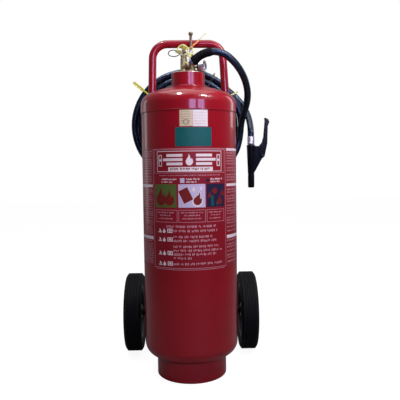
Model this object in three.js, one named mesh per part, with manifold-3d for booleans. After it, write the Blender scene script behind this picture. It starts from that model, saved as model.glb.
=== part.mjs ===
// Wheeled dry-powder fire extinguisher: a welded steel vessel on a foot ring and two solid-tyred
// wheels, with a tube handle, a brass quick-opening valve, a pressure gauge, a coiled discharge
// hose and a trigger nozzle. Millimetres, +Z up, the front of the vessel towards -Y.
import * as THREE from 'three';
import { mergeVertices } from 'three/addons/utils/BufferGeometryUtils.js';
import Module from 'manifold-3d';

const wasm = await Module();
wasm.setup();

// ---------------------------------------------------------------- driving dimensions
const GAP = 0.3; // clearance kept between pieces that touch
const ROUND = 40; // sides of the large turned pieces
const FINE = 20; // sides of the small turned pieces
const CHAMFER = 3; // on the foot ring's and the collar's outer edges

const WALL = 3; // vessel sheet thickness
const VESSEL_RADIUS = 150;
const HEAD_RADIUS = 152; // outside of the top head, which laps the shell by a small step
const SHELL_BOTTOM = 125; // weld seams of the shell
const SHELL_TOP = 838;
const CROWN_RADIUS = 328; // torispherical heads
const KNUCKLE_RADIUS = 40;
const TOP_FLANGE_END = 862; // where the top head starts to curve
const BOTTOM_FLANGE_END = 107;

const RING_RADIUS = 112; // foot ring
const RING_WALL = 4;
const FOOT_WIDTH = 16; // inward flange that the ring stands on

const COLLAR_RADIUS = 53; // thick neck collar welded on the top head
const COLLAR_TOP = 966;
const NECK_BORE = 24;
const NECK_HOLE = 40; // hole in the top head for the collar's spigot

const TUBE_RADIUS = 12.7; // handle tube
const TUBE_WALL = 2;
const HANDLE_HALF_WIDTH = 114; // to the tube's centreline
const HANDLE_TOP = 1066;
const HANDLE_BEND = 48;
const HANDLE_Y = 34;
const HANDLE_FOOT_Z = 880; // inside the head, before the end is coped

const AXLE_Y = 222;
const AXLE_Z = 140;
const AXLE_RADIUS = 10;
const AXLE_HALF_LENGTH = 236.5;
const WHEEL_X = 205.5; // middle plane of each wheel
const TYRE_RADIUS = 140;
const TYRE_HALF_WIDTH = 30;
const RIM_RADIUS = 96;
const SEAT_HALF_WIDTH = 26; // where the tyre sits on the rim
const HUB_HALF_WIDTH = 23.5;
const AXLE_PIN_X = 233.5;
const BRACKET_X = 90; // inner face of each axle bracket
const BRACKET_THICKNESS = 8;

const HOSE_RADIUS = 11;
const OUTLET_START = [0, 0, 980]; // axis of the valve's outlet, from inside the valve
const ELBOW = [0, -50, 983.5]; // middle of the outlet elbow
const BOSS_TO_ELBOW = 14;
const HOSE_START = [19.7, -55.7, 994.9];
const NUT_LENGTH = 13;
const COIL_X = -3; // middle of the hose coil, which hangs behind the vessel
const COIL_Z = 814;
const COIL_OUTER = 198.6;
const COIL_INNER = 131;
const COIL_FRONT = 158;
const COIL_BACK = 202.8;

const VALVE_BOTTOM = 912; // heights of the valve's body
const BLOCK_TOP = 990;
const TOWER_TOP = 1012;
const NUT_HEIGHT = 9; // gland nut
const DIP_RADIUS = 11;
const DIP_BOTTOM = 58;
const DIP_TOP = 929;
const STEM_X = -13; // valve stem, left of the neck's axis
const STEM_RADIUS = 4;
const PIVOT_X = 10; // lever pivot
const PIVOT_Z = 1032;
const PIVOT_RADIUS = 2.8;
const EAR_INSIDE = 5.6; // half of the gap between the yoke's ears
const POST_TOP = 1034;
const SAFETY_PIN_Z = 1029.5;
const KNOB_Z = 1091; // knob on the lever's rod
const GAUGE_Z = 986;
const GAUGE_TURN = 25; // degrees that the dial is turned from the right towards the front

const GUN = { x: 212, y: 110, z: 742 }; // top of the nozzle gun's barrel
const GUN_PIVOT = { x: 38, z: -36 }; // trigger pivot, from the top of the barrel
const PLUNGER_Z = -14;
const BARREL_LENGTH = 98;
const WEB_THICKNESS = 18;
const GUN_PIN_RADIUS = 2.9;

// ---------------------------------------------------------------- materials
const finish = (color, roughness, metalness) =>
  new THREE.MeshStandardMaterial({ color, roughness, metalness });

const redPaint = finish(0xb01022, 0.25, 0.1);
const brass = finish(0xb59a52, 0.35, 1);
const steel = finish(0xb8bcc0, 0.35, 1);
const chrome = finish(0xe0e2e6, 0.12, 1);
const blackSteel = finish(0x1c1c1e, 0.5, 0.4);
const rubber = finish(0x17181a, 0.8, 0);
const hoseRubber = finish(0x14161c, 0.45, 0);
const blackPlastic = finish(0x1b1c21, 0.5, 0);
const whitePlastic = finish(0xe8e8e4, 0.5, 0);
const yellowPlastic = finish(0xe6d93a, 0.45, 0);
const clear = finish(0xf2f6f8, 0.05, 0);

// ---------------------------------------------------------------- solids and booleans
// Positions only, shared corners merged, flat slivers dropped.
function welded(geometry) {
  const bare = geometry.clone();
  bare.deleteAttribute('normal');
  bare.deleteAttribute('uv');
  const merged = mergeVertices(bare, 1e-4);
  const corners = merged.index.array;
  const kept = [];
  for (let i = 0; i < corners.length; i += 3) {
    const [a, b, c] = corners.slice(i, i + 3);
    if (a !== b && b !== c && c !== a) kept.push(a, b, c);
  }
  merged.setIndex(kept);
  return merged;
}

function signedVolume(geometry) {
  const [a, b, c] = [new THREE.Vector3(), new THREE.Vector3(), new THREE.Vector3()];
  const { position } = geometry.attributes;
  const corners = geometry.index.array;
  let sum = 0;
  for (let i = 0; i < corners.length; i += 3) {
    a.fromBufferAttribute(position, corners[i]);
    b.fromBufferAttribute(position, corners[i + 1]);
    c.fromBufferAttribute(position, corners[i + 2]);
    sum += a.dot(b.cross(c)) / 6;
  }
  return sum;
}

// A closed geometry with its faces pointing out.
function outward(geometry) {
  const shell = welded(geometry);
  if (signedVolume(shell) < 0) {
    const flipped = [];
    const corners = shell.index.array;
    for (let i = 0; i < corners.length; i += 3) {
      flipped.push(corners[i], corners[i + 2], corners[i + 1]);
    }
    shell.setIndex(flipped);
  }
  shell.computeVertexNormals();
  return shell;
}

function toSolid(geometry) {
  const shell = outward(geometry);
  return new wasm.Manifold(new wasm.Mesh({
    numProp: 3,
    vertProperties: new Float32Array(shell.attributes.position.array),
    triVerts: new Uint32Array(shell.index.array),
  }));
}

function toGeometry(solid) {
  const mesh = solid.getMesh();
  const geometry = new THREE.BufferGeometry();
  geometry.setAttribute('position', new THREE.BufferAttribute(mesh.vertProperties, 3));
  geometry.setIndex(new THREE.BufferAttribute(mesh.triVerts, 1));
  geometry.computeVertexNormals();
  return geometry;
}

const join = (...pieces) => toGeometry(pieces.map(toSolid).reduce((sum, next) => sum.add(next)));

const cut = (piece, ...tools) =>
  toGeometry(tools.map(toSolid).reduce((rest, tool) => rest.subtract(tool), toSolid(piece)));

// ---------------------------------------------------------------- shapes
// A turned solid about Z from [radius, height] corners, closed unless it ends on the axis.
function turned(profile, sides = ROUND) {
  const points = profile.map(([radius, height]) => new THREE.Vector2(radius, height));
  const last = points[points.length - 1];
  if (points[0].x > 0 || last.x > 0) points.push(points[0].clone());
  return outward(new THREE.LatheGeometry(points, sides).rotateX(Math.PI / 2));
}

// A round bar between two points.
function bar(radius, start, end, sides = FINE) {
  const from = new THREE.Vector3(...start);
  const along = new THREE.Vector3(...end).sub(from);
  const geometry = new THREE.CylinderGeometry(radius, radius, along.length(), sides);
  geometry.applyQuaternion(
    new THREE.Quaternion().setFromUnitVectors(new THREE.Vector3(0, 1, 0), along.clone().normalize()));
  return geometry.translate(...from.addScaledVector(along, 0.5).toArray());
}

function block(low, high) {
  const size = high.map((value, i) => value - low[i]);
  const middle = high.map((value, i) => (value + low[i]) / 2);
  return new THREE.BoxGeometry(...size).translate(...middle);
}

// A flat plate with its outline in X and Z, centred on the given Y.
function plateXZ(outline, thickness, y = 0, bevel = 0) {
  const shape = new THREE.Shape(outline.map(([x, z]) => new THREE.Vector2(x, z)));
  const geometry = new THREE.ExtrudeGeometry(shape, {
    depth: thickness - 2 * bevel,
    bevelEnabled: bevel > 0,
    bevelThickness: bevel,
    bevelSize: bevel,
    bevelOffset: -bevel,
    bevelSegments: 2,
  });
  return geometry.translate(0, 0, bevel - thickness / 2).rotateX(Math.PI / 2).translate(0, y, 0);
}

// A flat plate with its outline in Y and Z, starting at the given X.
function plateYZ(outline, thickness, x) {
  const shape = new THREE.Shape(outline.map(([y, z]) => new THREE.Vector2(y, z)));
  const geometry = new THREE.ExtrudeGeometry(shape, { depth: thickness, bevelEnabled: false });
  return geometry.rotateX(Math.PI / 2).rotateZ(Math.PI / 2).translate(x, 0, 0);
}

// A round section swept along a curve, solid or hollow.
function swept(curve, radius, steps, sides = 12, innerRadius = 0) {
  const circle = (r, count) => Array.from({ length: count }, (_, i) => {
    const angle = (2 * Math.PI * i) / count;
    return new THREE.Vector2(r * Math.cos(angle), r * Math.sin(angle));
  });
  const shape = new THREE.Shape(circle(radius, sides));
  if (innerRadius > 0) shape.holes.push(new THREE.Path(circle(innerRadius, sides)));
  return new THREE.ExtrudeGeometry(shape, { steps, extrudePath: curve, bevelEnabled: false });
}

const throughPoints = (points) => new THREE.CatmullRomCurve3(
  points.map(([x, y, z]) => new THREE.Vector3(x, y, z)), false, 'centripetal');

// A compression spring about Z.
function spring(meanRadius, wireRadius, bottom, top, turns) {
  const points = [];
  const perTurn = 8;
  for (let i = 0; i <= turns * perTurn; i += 1) {
    const angle = (2 * Math.PI * i) / perTurn;
    const rise = bottom + wireRadius + ((top - bottom - 2 * wireRadius) * i) / (turns * perTurn);
    points.push([meanRadius * Math.cos(angle), meanRadius * Math.sin(angle), rise]);
  }
  return swept(throughPoints(points), wireRadius, turns * perTurn, 5);
}

// ---------------------------------------------------------------- assembly
const extinguisher = new THREE.Group();
const assembly = new THREE.Group(); // origin on the vessel's axis, on the floor
extinguisher.add(assembly);

function add(name, geometry, material, parent = assembly) {
  const mesh = new THREE.Mesh(outward(geometry), material);
  mesh.name = name;
  parent.add(mesh);
  return mesh;
}

// ---------------------------------------------------------------- vessel
// [radius, height] corners of a torispherical head from its flange to its crown, where up is 1
// for the top head and -1 for the bottom one. inset moves the surface inwards by the wall.
function headArc(flangeRadius, flangeEnd, up, holeRadius, inset) {
  const offset = flangeRadius - KNUCKLE_RADIUS;
  const rise = Math.sqrt((CROWN_RADIUS - KNUCKLE_RADIUS) ** 2 - offset ** 2);
  const knuckle = KNUCKLE_RADIUS - inset;
  const crown = CROWN_RADIUS - inset;
  const tangent = Math.atan2(rise, offset);
  const corners = [];
  const [knuckleSteps, crownSteps] = [4, 2];
  for (let i = 0; i <= knuckleSteps; i += 1) {
    const angle = (tangent * i) / knuckleSteps;
    corners.push([offset + knuckle * Math.cos(angle), flangeEnd + up * knuckle * Math.sin(angle)]);
  }
  const edge = Math.acos(holeRadius / crown);
  for (let i = 1; i <= crownSteps; i += 1) {
    const angle = tangent + ((edge - tangent) * i) / crownSteps;
    corners.push([crown * Math.cos(angle), flangeEnd + up * (crown * Math.sin(angle) - rise)]);
  }
  return corners;
}

const headHeightAt = (radius, flangeRadius, inset = 0) => {
  const offset = flangeRadius - KNUCKLE_RADIUS;
  const rise = Math.sqrt((CROWN_RADIUS - KNUCKLE_RADIUS) ** 2 - offset ** 2);
  return Math.sqrt((CROWN_RADIUS - inset) ** 2 - radius ** 2) - rise;
};

function addVessel() {
  const inside = VESSEL_RADIUS - WALL;
  add('cylinder_body', turned([
    [inside, SHELL_BOTTOM], [VESSEL_RADIUS, SHELL_BOTTOM],
    [VESSEL_RADIUS, SHELL_TOP], [inside, SHELL_TOP],
  ]), redPaint);

  const topStart = SHELL_TOP + GAP;
  add('top_dome', turned([
    [HEAD_RADIUS, topStart],
    ...headArc(HEAD_RADIUS, TOP_FLANGE_END, 1, NECK_HOLE, 0),
    ...headArc(HEAD_RADIUS, TOP_FLANGE_END, 1, NECK_HOLE, WALL).reverse(),
    [HEAD_RADIUS - WALL, topStart],
  ]), redPaint);

  const bottomStart = SHELL_BOTTOM - GAP;
  add('bottom_dome', turned([
    [VESSEL_RADIUS, bottomStart],
    ...headArc(VESSEL_RADIUS, BOTTOM_FLANGE_END, -1, 0, 0),
    ...headArc(VESSEL_RADIUS, BOTTOM_FLANGE_END, -1, 0, WALL).reverse(),
    [VESSEL_RADIUS - WALL, bottomStart],
  ].map(([radius, height]) => [Math.max(radius, 0), height])), redPaint);

  const ringTop = (radius) => BOTTOM_FLANGE_END - headHeightAt(radius, VESSEL_RADIUS) - GAP;
  const ringInside = RING_RADIUS - RING_WALL;
  add('base_ring', turned([
    [ringInside, ringTop(ringInside)], [ringInside, RING_WALL + 2],
    [ringInside - 2, RING_WALL], [RING_RADIUS - FOOT_WIDTH, RING_WALL],
    [RING_RADIUS - FOOT_WIDTH, 0], [RING_RADIUS - CHAMFER, 0], [RING_RADIUS, CHAMFER],
    [RING_RADIUS, ringTop(RING_RADIUS)],
  ]), redPaint);

  const spigot = NECK_HOLE - GAP;
  const spigotLength = 14;
  const seat = (radius) => TOP_FLANGE_END + headHeightAt(radius, HEAD_RADIUS) + GAP;
  add('neck_collar', turned([
    [NECK_BORE, COLLAR_TOP], [COLLAR_RADIUS - CHAMFER, COLLAR_TOP],
    [COLLAR_RADIUS, COLLAR_TOP - CHAMFER], [COLLAR_RADIUS, seat(COLLAR_RADIUS)],
    [spigot, seat(spigot)], [spigot, seat(spigot) - spigotLength],
    [NECK_BORE, seat(spigot) - spigotLength],
  ]), redPaint);
}

// ---------------------------------------------------------------- handle
function addHandle() {
  const [leftSplay, rightSplay] = [4, 8]; // how far the feet stand outside the upright tubes
  const points = [[-HANDLE_HALF_WIDTH - leftSplay, HANDLE_Y, HANDLE_FOOT_Z]];
  const bendSteps = 5;
  for (const side of [-1, 1]) {
    const middleX = side * (HANDLE_HALF_WIDTH - HANDLE_BEND);
    const middleZ = HANDLE_TOP - HANDLE_BEND;
    for (let i = 0; i <= bendSteps; i += 1) {
      const share = side < 0 ? i : bendSteps - i;
      const angle = (Math.PI / 2) * (share / bendSteps);
      points.push([
        middleX + side * HANDLE_BEND * Math.cos(angle), HANDLE_Y,
        middleZ + HANDLE_BEND * Math.sin(angle),
      ]);
    }
    if (side < 0) points.push([0, HANDLE_Y, HANDLE_TOP]);
  }
  points.push([HANDLE_HALF_WIDTH + rightSplay, HANDLE_Y, HANDLE_FOOT_Z]);
  const tube = swept(throughPoints(points), TUBE_RADIUS, 24, 10, TUBE_RADIUS - TUBE_WALL);
  const underHead = TOP_FLANGE_END - 40;
  const head = turned([
    [0, underHead], [HEAD_RADIUS + GAP, underHead],
    ...headArc(HEAD_RADIUS, TOP_FLANGE_END, 1, NECK_HOLE, -GAP),
    [0, TOP_FLANGE_END + headHeightAt(NECK_HOLE, HEAD_RADIUS)],
  ]);
  add('handle_tube', cut(tube, head), redPaint);
}

// ---------------------------------------------------------------- running gear
const axleBar = (radius, startX, endX, sides = FINE) =>
  bar(radius, [startX, AXLE_Y, AXLE_Z], [endX, AXLE_Y, AXLE_Z], sides);

// Side plate from the vessel's wall back to a round boss on the axle.
function addBracket(side, x) {
  const bossRadius = 24;
  const frontY = 90; // inside the vessel, before the wall is cut away
  const armTop = 290;
  const outline = [[frontY, AXLE_Z - 12], [AXLE_Y - 6, AXLE_Z - bossRadius]];
  for (let degrees = -80; degrees <= 80; degrees += 20) {
    const angle = THREE.MathUtils.degToRad(degrees);
    outline.push([
      AXLE_Y + bossRadius * Math.cos(angle), AXLE_Z + bossRadius * Math.sin(angle),
    ]);
  }
  outline.push([AXLE_Y - 10, AXLE_Z + bossRadius + 6], [frontY, armTop]);
  add(`axle_bracket_${side}`, cut(
    plateYZ(outline, BRACKET_THICKNESS, x),
    bar(VESSEL_RADIUS + GAP, [0, 0, 0], [0, 0, armTop + 110], ROUND),
    axleBar(AXLE_RADIUS + GAP, x - 5, x + BRACKET_THICKNESS + 12),
  ), redPaint);
}

// Spacer, washer and cross pin that hold one wheel on the axle.
function addAxleEnd(side, sign) {
  const sleeve = (outer, near, far) => {
    const [low, high] = sign > 0 ? [near, far] : [-far, -near];
    const inner = AXLE_RADIUS + GAP;
    const ring = [[inner, low], [outer, low], [outer, high], [inner, high]];
    return turned(ring, FINE).rotateY(Math.PI / 2).translate(0, AXLE_Y, AXLE_Z);
  };
  const spacerStart = BRACKET_X + BRACKET_THICKNESS + GAP;
  const hubInner = WHEEL_X - HUB_HALF_WIDTH;
  const hubOuter = WHEEL_X + HUB_HALF_WIDTH;
  const washerThickness = 2;
  add(`axle_spacer_${side}`, sleeve(14, spacerStart, hubInner - GAP), blackSteel);
  add(`axle_washer_${side}`,
    sleeve(17, hubOuter + GAP, hubOuter + GAP + washerThickness), steel);
  const [x, halfLength] = [sign * AXLE_PIN_X, 14];
  add(`axle_pin_${side}`,
    bar(1.8, [x, AXLE_Y, AXLE_Z - halfLength], [x, AXLE_Y, AXLE_Z + halfLength], 12), steel);
}

function addAxle() {
  addBracket('left', -BRACKET_X - BRACKET_THICKNESS);
  addBracket('right', BRACKET_X);
  const pinHole = (x) => bar(2.2, [x, AXLE_Y, AXLE_Z - 20], [x, AXLE_Y, AXLE_Z + 20], 12);
  const axle = axleBar(AXLE_RADIUS, -AXLE_HALF_LENGTH, AXLE_HALF_LENGTH);
  add('axle', cut(axle, pinHole(-AXLE_PIN_X), pinHole(AXLE_PIN_X)), steel);
  addAxleEnd('left', -1);
  addAxleEnd('right', 1);
}

// Half of the tyre's section is drawn, from the bead out to the middle of the tread.
function tyreProfile() {
  const grooveDepth = 4;
  const half = [
    [RIM_RADIUS, -SEAT_HALF_WIDTH], [112, -TYRE_HALF_WIDTH], [131, -TYRE_HALF_WIDTH],
    [TYRE_RADIUS, -23.5],
    [TYRE_RADIUS, -10], [TYRE_RADIUS - grooveDepth, -10],
    [TYRE_RADIUS - grooveDepth, -6], [TYRE_RADIUS, -6],
  ];
  return [...half, ...half.map(([radius, width]) => [radius, -width]).reverse()];
}

// Hub, dished web and rim in one.
function rimProfile() {
  const bore = 16;
  const hub = 25;
  const seat = RIM_RADIUS - GAP;
  return [
    [bore, -HUB_HALF_WIDTH], [hub, -HUB_HALF_WIDTH], [hub, -4], [80, -8], [88, -23],
    [seat, -SEAT_HALF_WIDTH], [seat, SEAT_HALF_WIDTH], [88, 23], [88, 4], [80, -3], [hub, 2],
    [hub, HUB_HALF_WIDTH], [bore, HUB_HALF_WIDTH],
  ];
}

function addWheels() {
  const sides = 32;
  for (const [side, sign] of [['left', -1], ['right', 1]]) {
    const wheel = new THREE.Group();
    wheel.position.set(sign * WHEEL_X, AXLE_Y, AXLE_Z);
    wheel.rotation.y = (sign * Math.PI) / 2;
    assembly.add(wheel);
    add(`tyre_${side}`, turned(tyreProfile(), sides), rubber, wheel);
    add(`wheel_rim_${side}`, turned(rimProfile(), sides), blackSteel, wheel);
    const [inner, outer] = [AXLE_RADIUS + GAP, 16 - GAP];
    add(`wheel_bushing_${side}`, turned([
      [inner, -HUB_HALF_WIDTH], [outer, -HUB_HALF_WIDTH],
      [outer, HUB_HALF_WIDTH], [inner, HUB_HALF_WIDTH],
    ], FINE), whitePlastic, wheel);
  }
}

// ---------------------------------------------------------------- valve
const upright = (radius, x, bottom, top, sides = FINE) =>
  bar(radius, [x, 0, bottom], [x, 0, top], sides);

const acrossY = (radius, x, halfLength, z, sides = FINE) =>
  bar(radius, [x, -halfLength, z], [x, halfLength, z], sides);

function addValveBody() {
  const seatZ = COLLAR_TOP + GAP;
  const gasketTop = seatZ + 2;
  const shank = NECK_BORE - 2;
  add('neck_gasket', turned([
    [shank + 0.5, seatZ], [28, seatZ], [28, gasketTop], [shank + 0.5, gasketTop],
  ], FINE), rubber);

  const flange = gasketTop + GAP;
  const turnedBody = turned([
    [0, VALVE_BOTTOM], [shank, VALVE_BOTTOM], [shank, flange], [27, flange], [27, flange + 4],
    [24, flange + 7], [24, BLOCK_TOP - 2], [22, BLOCK_TOP], [0, BLOCK_TOP],
  ], FINE);
  const bossEnd = new THREE.Vector3(...OUTLET_START)
    .lerp(new THREE.Vector3(...ELBOW), 1 - BOSS_TO_ELBOW / Math.abs(ELBOW[1])).toArray();
  const body = join(
    turnedBody,
    upright(11, STEM_X, 975, TOWER_TOP),
    bar(11, OUTLET_START, bossEnd),
  );
  add('valve_body', cut(
    body,
    upright(DIP_RADIUS + 0.4, 0, VALVE_BOTTOM - 12, DIP_TOP + 1), // socket for the dip tube
    upright(8.6, STEM_X / 2, DIP_TOP - 4, 966), // inlet passage
    upright(8.6, STEM_X, 962, 987), // valve chamber
    upright(7, STEM_X, 980, TOWER_TOP + 8), // spring bore
    bar(6, [STEM_X + 4, -3, 981], ELBOW, 16), // outlet passage
    bar(4, [20, 0, GAUGE_Z], [30, 0, GAUGE_Z], 16), // gauge port
  ), brass);

  add('dip_tube', turned([
    [DIP_RADIUS - 2, DIP_BOTTOM], [DIP_RADIUS, DIP_BOTTOM],
    [DIP_RADIUS, DIP_TOP], [DIP_RADIUS - 2, DIP_TOP],
  ], 24), whitePlastic);
}

function addStem() {
  const nutTop = TOWER_TOP + NUT_HEIGHT;
  add('gland_nut', cut(
    upright(11, STEM_X, TOWER_TOP + GAP, nutTop, 6),
    upright(STEM_RADIUS + GAP, STEM_X, TOWER_TOP - 5, nutTop + 11),
  ), brass);

  const headBottom = PIVOT_Z + 2.4;
  const stem = turned([
    [0, 968], [8, 968], [8, 974], [STEM_RADIUS, 976], [STEM_RADIUS, headBottom],
    [5.5, headBottom], [5.5, headBottom + 5.6], [STEM_RADIUS, headBottom + 7.1],
    [0, headBottom + 7.1],
  ], FINE);
  add('valve_stem', stem.translate(STEM_X, 0, 0), steel);
  const coil = spring(5.7, 0.8, 976.4, TOWER_TOP - 0.5, 5);
  add('stem_spring', coil.translate(STEM_X, 0, 0), steel);
}

// Plate on the gland with two ears for the lever and a post for the safety pin.
function addYoke() {
  const bottom = TOWER_TOP + NUT_HEIGHT + GAP;
  const top = bottom + 3;
  const post = [-24, -19];
  const ear = [3, 17];
  const earTop = 1038.5;
  const side = [
    [post[0], bottom], [ear[1], bottom], [ear[1], 1033], [ear[1] - 3, earTop],
    [ear[0] + 3, earTop], [ear[0], 1033], [ear[0], top], [post[1], top],
    [post[1], POST_TOP], [post[0], POST_TOP],
  ];
  const postHalfWidth = 5;
  add('valve_yoke', cut(
    plateXZ(side, 18),
    block([0, -EAR_INSIDE, top], [30, EAR_INSIDE, 1060]),
    block([-30, postHalfWidth, top], [-10, 20, 1060]),
    block([-30, -20, top], [-10, -postHalfWidth, 1060]),
    upright(STEM_RADIUS + 0.5, STEM_X, TOWER_TOP, PIVOT_Z),
    acrossY(PIVOT_RADIUS + GAP, PIVOT_X, 20, PIVOT_Z),
    bar(2.1, [-30, 0, SAFETY_PIN_Z], [-15, 0, SAFETY_PIN_Z], 14),
  ), brass);
  add('lever_pivot_pin', acrossY(PIVOT_RADIUS, PIVOT_X, 10.5, PIVOT_Z, 16), steel);
}

// Hub between the yoke's ears, a fork under the stem's head and an upright rod with a knob.
function addLever() {
  const hubHalf = EAR_INSIDE - 0.4;
  const [bottom, top] = [PIVOT_Z - 2, PIVOT_Z + 2];
  const rod = turned([
    [0, PIVOT_Z + 1], [4.5, PIVOT_Z + 1], [4.2, KNOB_Z - 7], [5.5, KNOB_Z - 4],
    [6.8, KNOB_Z - 2], [6.8, KNOB_Z + 2], [5, KNOB_Z + 4], [0, KNOB_Z + 4],
  ], FINE).translate(PIVOT_X, 0, 0);
  const slotHalf = 4.6; // slot in the fork, wider than the stem
  add('valve_lever', cut(
    join(
      acrossY(5.6, PIVOT_X, hubHalf, PIVOT_Z),
      block([-17.5, -8.5, bottom], [1, 8.5, top]),
      block([-1, -hubHalf, bottom], [PIVOT_X, hubHalf, top]),
      rod,
    ),
    block([-30, -slotHalf, bottom - 3], [-6, slotHalf, top + 0.5]),
    acrossY(PIVOT_RADIUS + GAP, PIVOT_X, 20, PIVOT_Z),
  ), brass);
}

// Flat leaf-shaped tag, standing in the XZ plane.
function leafTag(x, y, z, halfLength, tilt) {
  const corners = 14;
  const slimness = 0.45;
  const leaf = Array.from({ length: corners }, (_, i) => {
    const angle = (2 * Math.PI * i) / corners;
    return [halfLength * Math.cos(angle), slimness * halfLength * Math.sin(angle)];
  });
  return plateXZ(leaf, 1.6).rotateY(tilt).translate(x, y, z);
}

function addSafetyPin() {
  const [halfWidth, halfHeight, wire, ringX] = [18, 10, 1.2, -43.8];
  const ring = new THREE.TorusGeometry(halfWidth, wire, 6, 20)
    .scale(1, halfHeight / halfWidth, 1).rotateX(Math.PI / 2).translate(ringX, 0, SAFETY_PIN_Z);
  const pin = bar(1.7, [-26.5, 0, SAFETY_PIN_Z], [-17.6, 0, SAFETY_PIN_Z], 12);
  add('safety_pin', join(pin, ring), blackSteel);
  add('seal_tag_front', leafTag(-29, -7.5, 1032.5, 11, 0.05), yellowPlastic);
  add('seal_tag_back', leafTag(-9, 12, 1045, 13, 0.25), yellowPlastic);
}

function addSeal() {
  const loop = new THREE.TorusGeometry(7, 1.4, 6, 16).translate(PIVOT_X, 0, 1047);
  add('seal_loop', loop, yellowPlastic);
  const strip = [
    [15, 1050], [27, 1057], [39, 1067], [58, 1089], [56, 1091], [37, 1070], [25, 1060], [14, 1053],
  ];
  add('seal_tail', plateXZ(strip, 5, -5), yellowPlastic);
}

// ---------------------------------------------------------------- pressure gauge
function addGauge() {
  const turn = new THREE.Group();
  turn.position.set(30, 0, GAUGE_Z);
  turn.rotation.z = -THREE.MathUtils.degToRad(GAUGE_TURN);
  const gauge = new THREE.Group(); // local +Z leaves the dial
  gauge.rotation.y = Math.PI / 2;
  turn.add(gauge);
  assembly.add(turn);

  const [radius, depth, wall] = [18.2, 22, 1.5];
  const back = 4.5;
  const socket = turn.position.clone().addScaledVector(
    new THREE.Vector3(1, 0, 0).applyEuler(turn.rotation), back - GAP);
  add('gauge_stem', join(
    bar(3.7, [21, 0, GAUGE_Z], [30.5, 0, GAUGE_Z], 16),
    bar(7, turn.position.toArray(), socket.toArray(), 6),
  ), brass);

  const [rim, rimEnd] = [radius + 0.8, depth + 3];
  add('gauge_case', turned([
    [0, back], [radius - 2, back], [radius, back + 2], [radius, depth], [rim, depth],
    [rim, rimEnd], [radius - wall, rimEnd], [radius - wall, back + wall], [0, back + wall],
  ], 24), chrome, gauge);

  const bourdonRoute = Array.from({ length: 13 }, (_, i) => {
    const angle = THREE.MathUtils.degToRad(20 + 22 * i);
    return [11.5 * Math.cos(angle), 11.5 * Math.sin(angle), back + wall + 3.6];
  });
  add('gauge_bourdon_tube', swept(throughPoints(bourdonRoute), 2.2, 14, 6), brass, gauge);

  const inner = radius - wall - GAP;
  const disc = (hole, z, thickness) => turned([
    [hole, z], [inner, z], [inner, z + thickness], [hole, z + thickness],
  ], 24);
  const dialZ = 16;
  add('gauge_dial', disc(1.6, dialZ, 1), whitePlastic, gauge);
  const pointer = plateXZ([[-1.2, -5], [1.2, -5], [0.9, 11], [0, 13], [-0.9, 11]], 0.8);
  add('gauge_needle', join(
    pointer.rotateX(-Math.PI / 2).rotateZ(Math.PI / 2).translate(0, 0, dialZ + 2.4),
    bar(1.2, [0, 0, dialZ - 3.5], [0, 0, dialZ + 3], 12),
    bar(2.4, [0, 0, dialZ + 1.6], [0, 0, dialZ + 3.2], 16),
  ), blackSteel, gauge);
  add('gauge_lens', disc(0, dialZ + 5, 1.6), clear, gauge);
}

// ---------------------------------------------------------------- hose
const leadRoute = [
  HOSE_START, [29.8, -58.6, 1001], [43, -61.8, 1008.4], [60, -63.5, 1015], [83, -62, 1019],
  [114, -57, 1013], [142, -49, 992], [165, -36, 965], [182, -14, 935], [191, 14, 904],
  [192, 48, 877], [188, 84, 854], [183, 116, 830], [180, 136, 802], [177.5, 146, 770],
  [167, 146.3, 730], [150, 146.3, 700],
];
const tailRoute = [
  [200, 181, 872], [208, 168, 849], [212, 149, 826], [213, 130, 806], [212.3, 116, 792],
  [GUN.x, GUN.y, GUN.z + 38], [GUN.x, GUN.y, GUN.z + 28.5],
];

function addHoseEnd() {
  const passage = 5.5;
  const elbow = new THREE.Vector3(...ELBOW);
  const start = new THREE.Vector3(...HOSE_START);
  const back = elbow.clone().sub(start).normalize();
  const behind = (distance) => start.clone().addScaledVector(back, distance).toArray();
  add('hose_nut', cut(
    join(bar(12.5, behind(2 * GAP), behind(8)), bar(14.2, behind(6), behind(NUT_LENGTH), 6)),
    bar(passage, behind(-1), behind(NUT_LENGTH + 1), 16),
  ), chrome);
  const valveSide = new THREE.Vector3(...OUTLET_START).sub(elbow).normalize();
  const valveEnd = elbow.clone().addScaledVector(valveSide, BOSS_TO_ELBOW - 2 * GAP);
  add('outlet_elbow', cut(
    join(
      new THREE.SphereGeometry(9.6, 12, 8).translate(...ELBOW),
      bar(10, ELBOW, valveEnd.toArray()),
    ),
    bar(passage, behind(NUT_LENGTH), ELBOW, 16),
  ), brass);
}

// Band around the coil's strands, at an angle seen from the front, anticlockwise from +X.
function addCoilTie(name, degrees, material) {
  const rectangle = (grow) => [
    [COIL_INNER - grow, COIL_FRONT - grow], [COIL_OUTER + grow, COIL_FRONT - grow],
    [COIL_OUTER + grow, COIL_BACK + grow], [COIL_INNER - grow, COIL_BACK + grow],
  ].map(([x, y]) => new THREE.Vector2(x, y));
  const band = new THREE.Shape(rectangle(1.6));
  band.holes.push(new THREE.Path(rectangle(0.6)));
  const width = 5;
  const tie = add(name, new THREE.ExtrudeGeometry(band, { depth: width, bevelEnabled: false })
    .translate(0, 0, -width / 2), material);
  tie.rotation.y = -THREE.MathUtils.degToRad(degrees);
  tie.position.set(COIL_X, 0, COIL_Z);
}

// Bent strap on the back of the vessel that the coil hangs on.
function addHoseBracket() {
  const [front, bottom, saddle, lip, sheet] = [HEAD_RADIUS + 0.6, 770, 942.3, 206, 4.8];
  const [width, lipTop] = [40, saddle + 24];
  add('hose_bracket', plateYZ([
    [front, bottom], [front + sheet, bottom], [front + sheet, saddle - sheet],
    [lip, saddle - sheet], [lip + sheet, saddle - sheet + 3], [lip + sheet, lipTop],
    [lip, lipTop], [lip, saddle], [front, saddle],
  ], width, -width / 2), redPaint);
}

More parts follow.
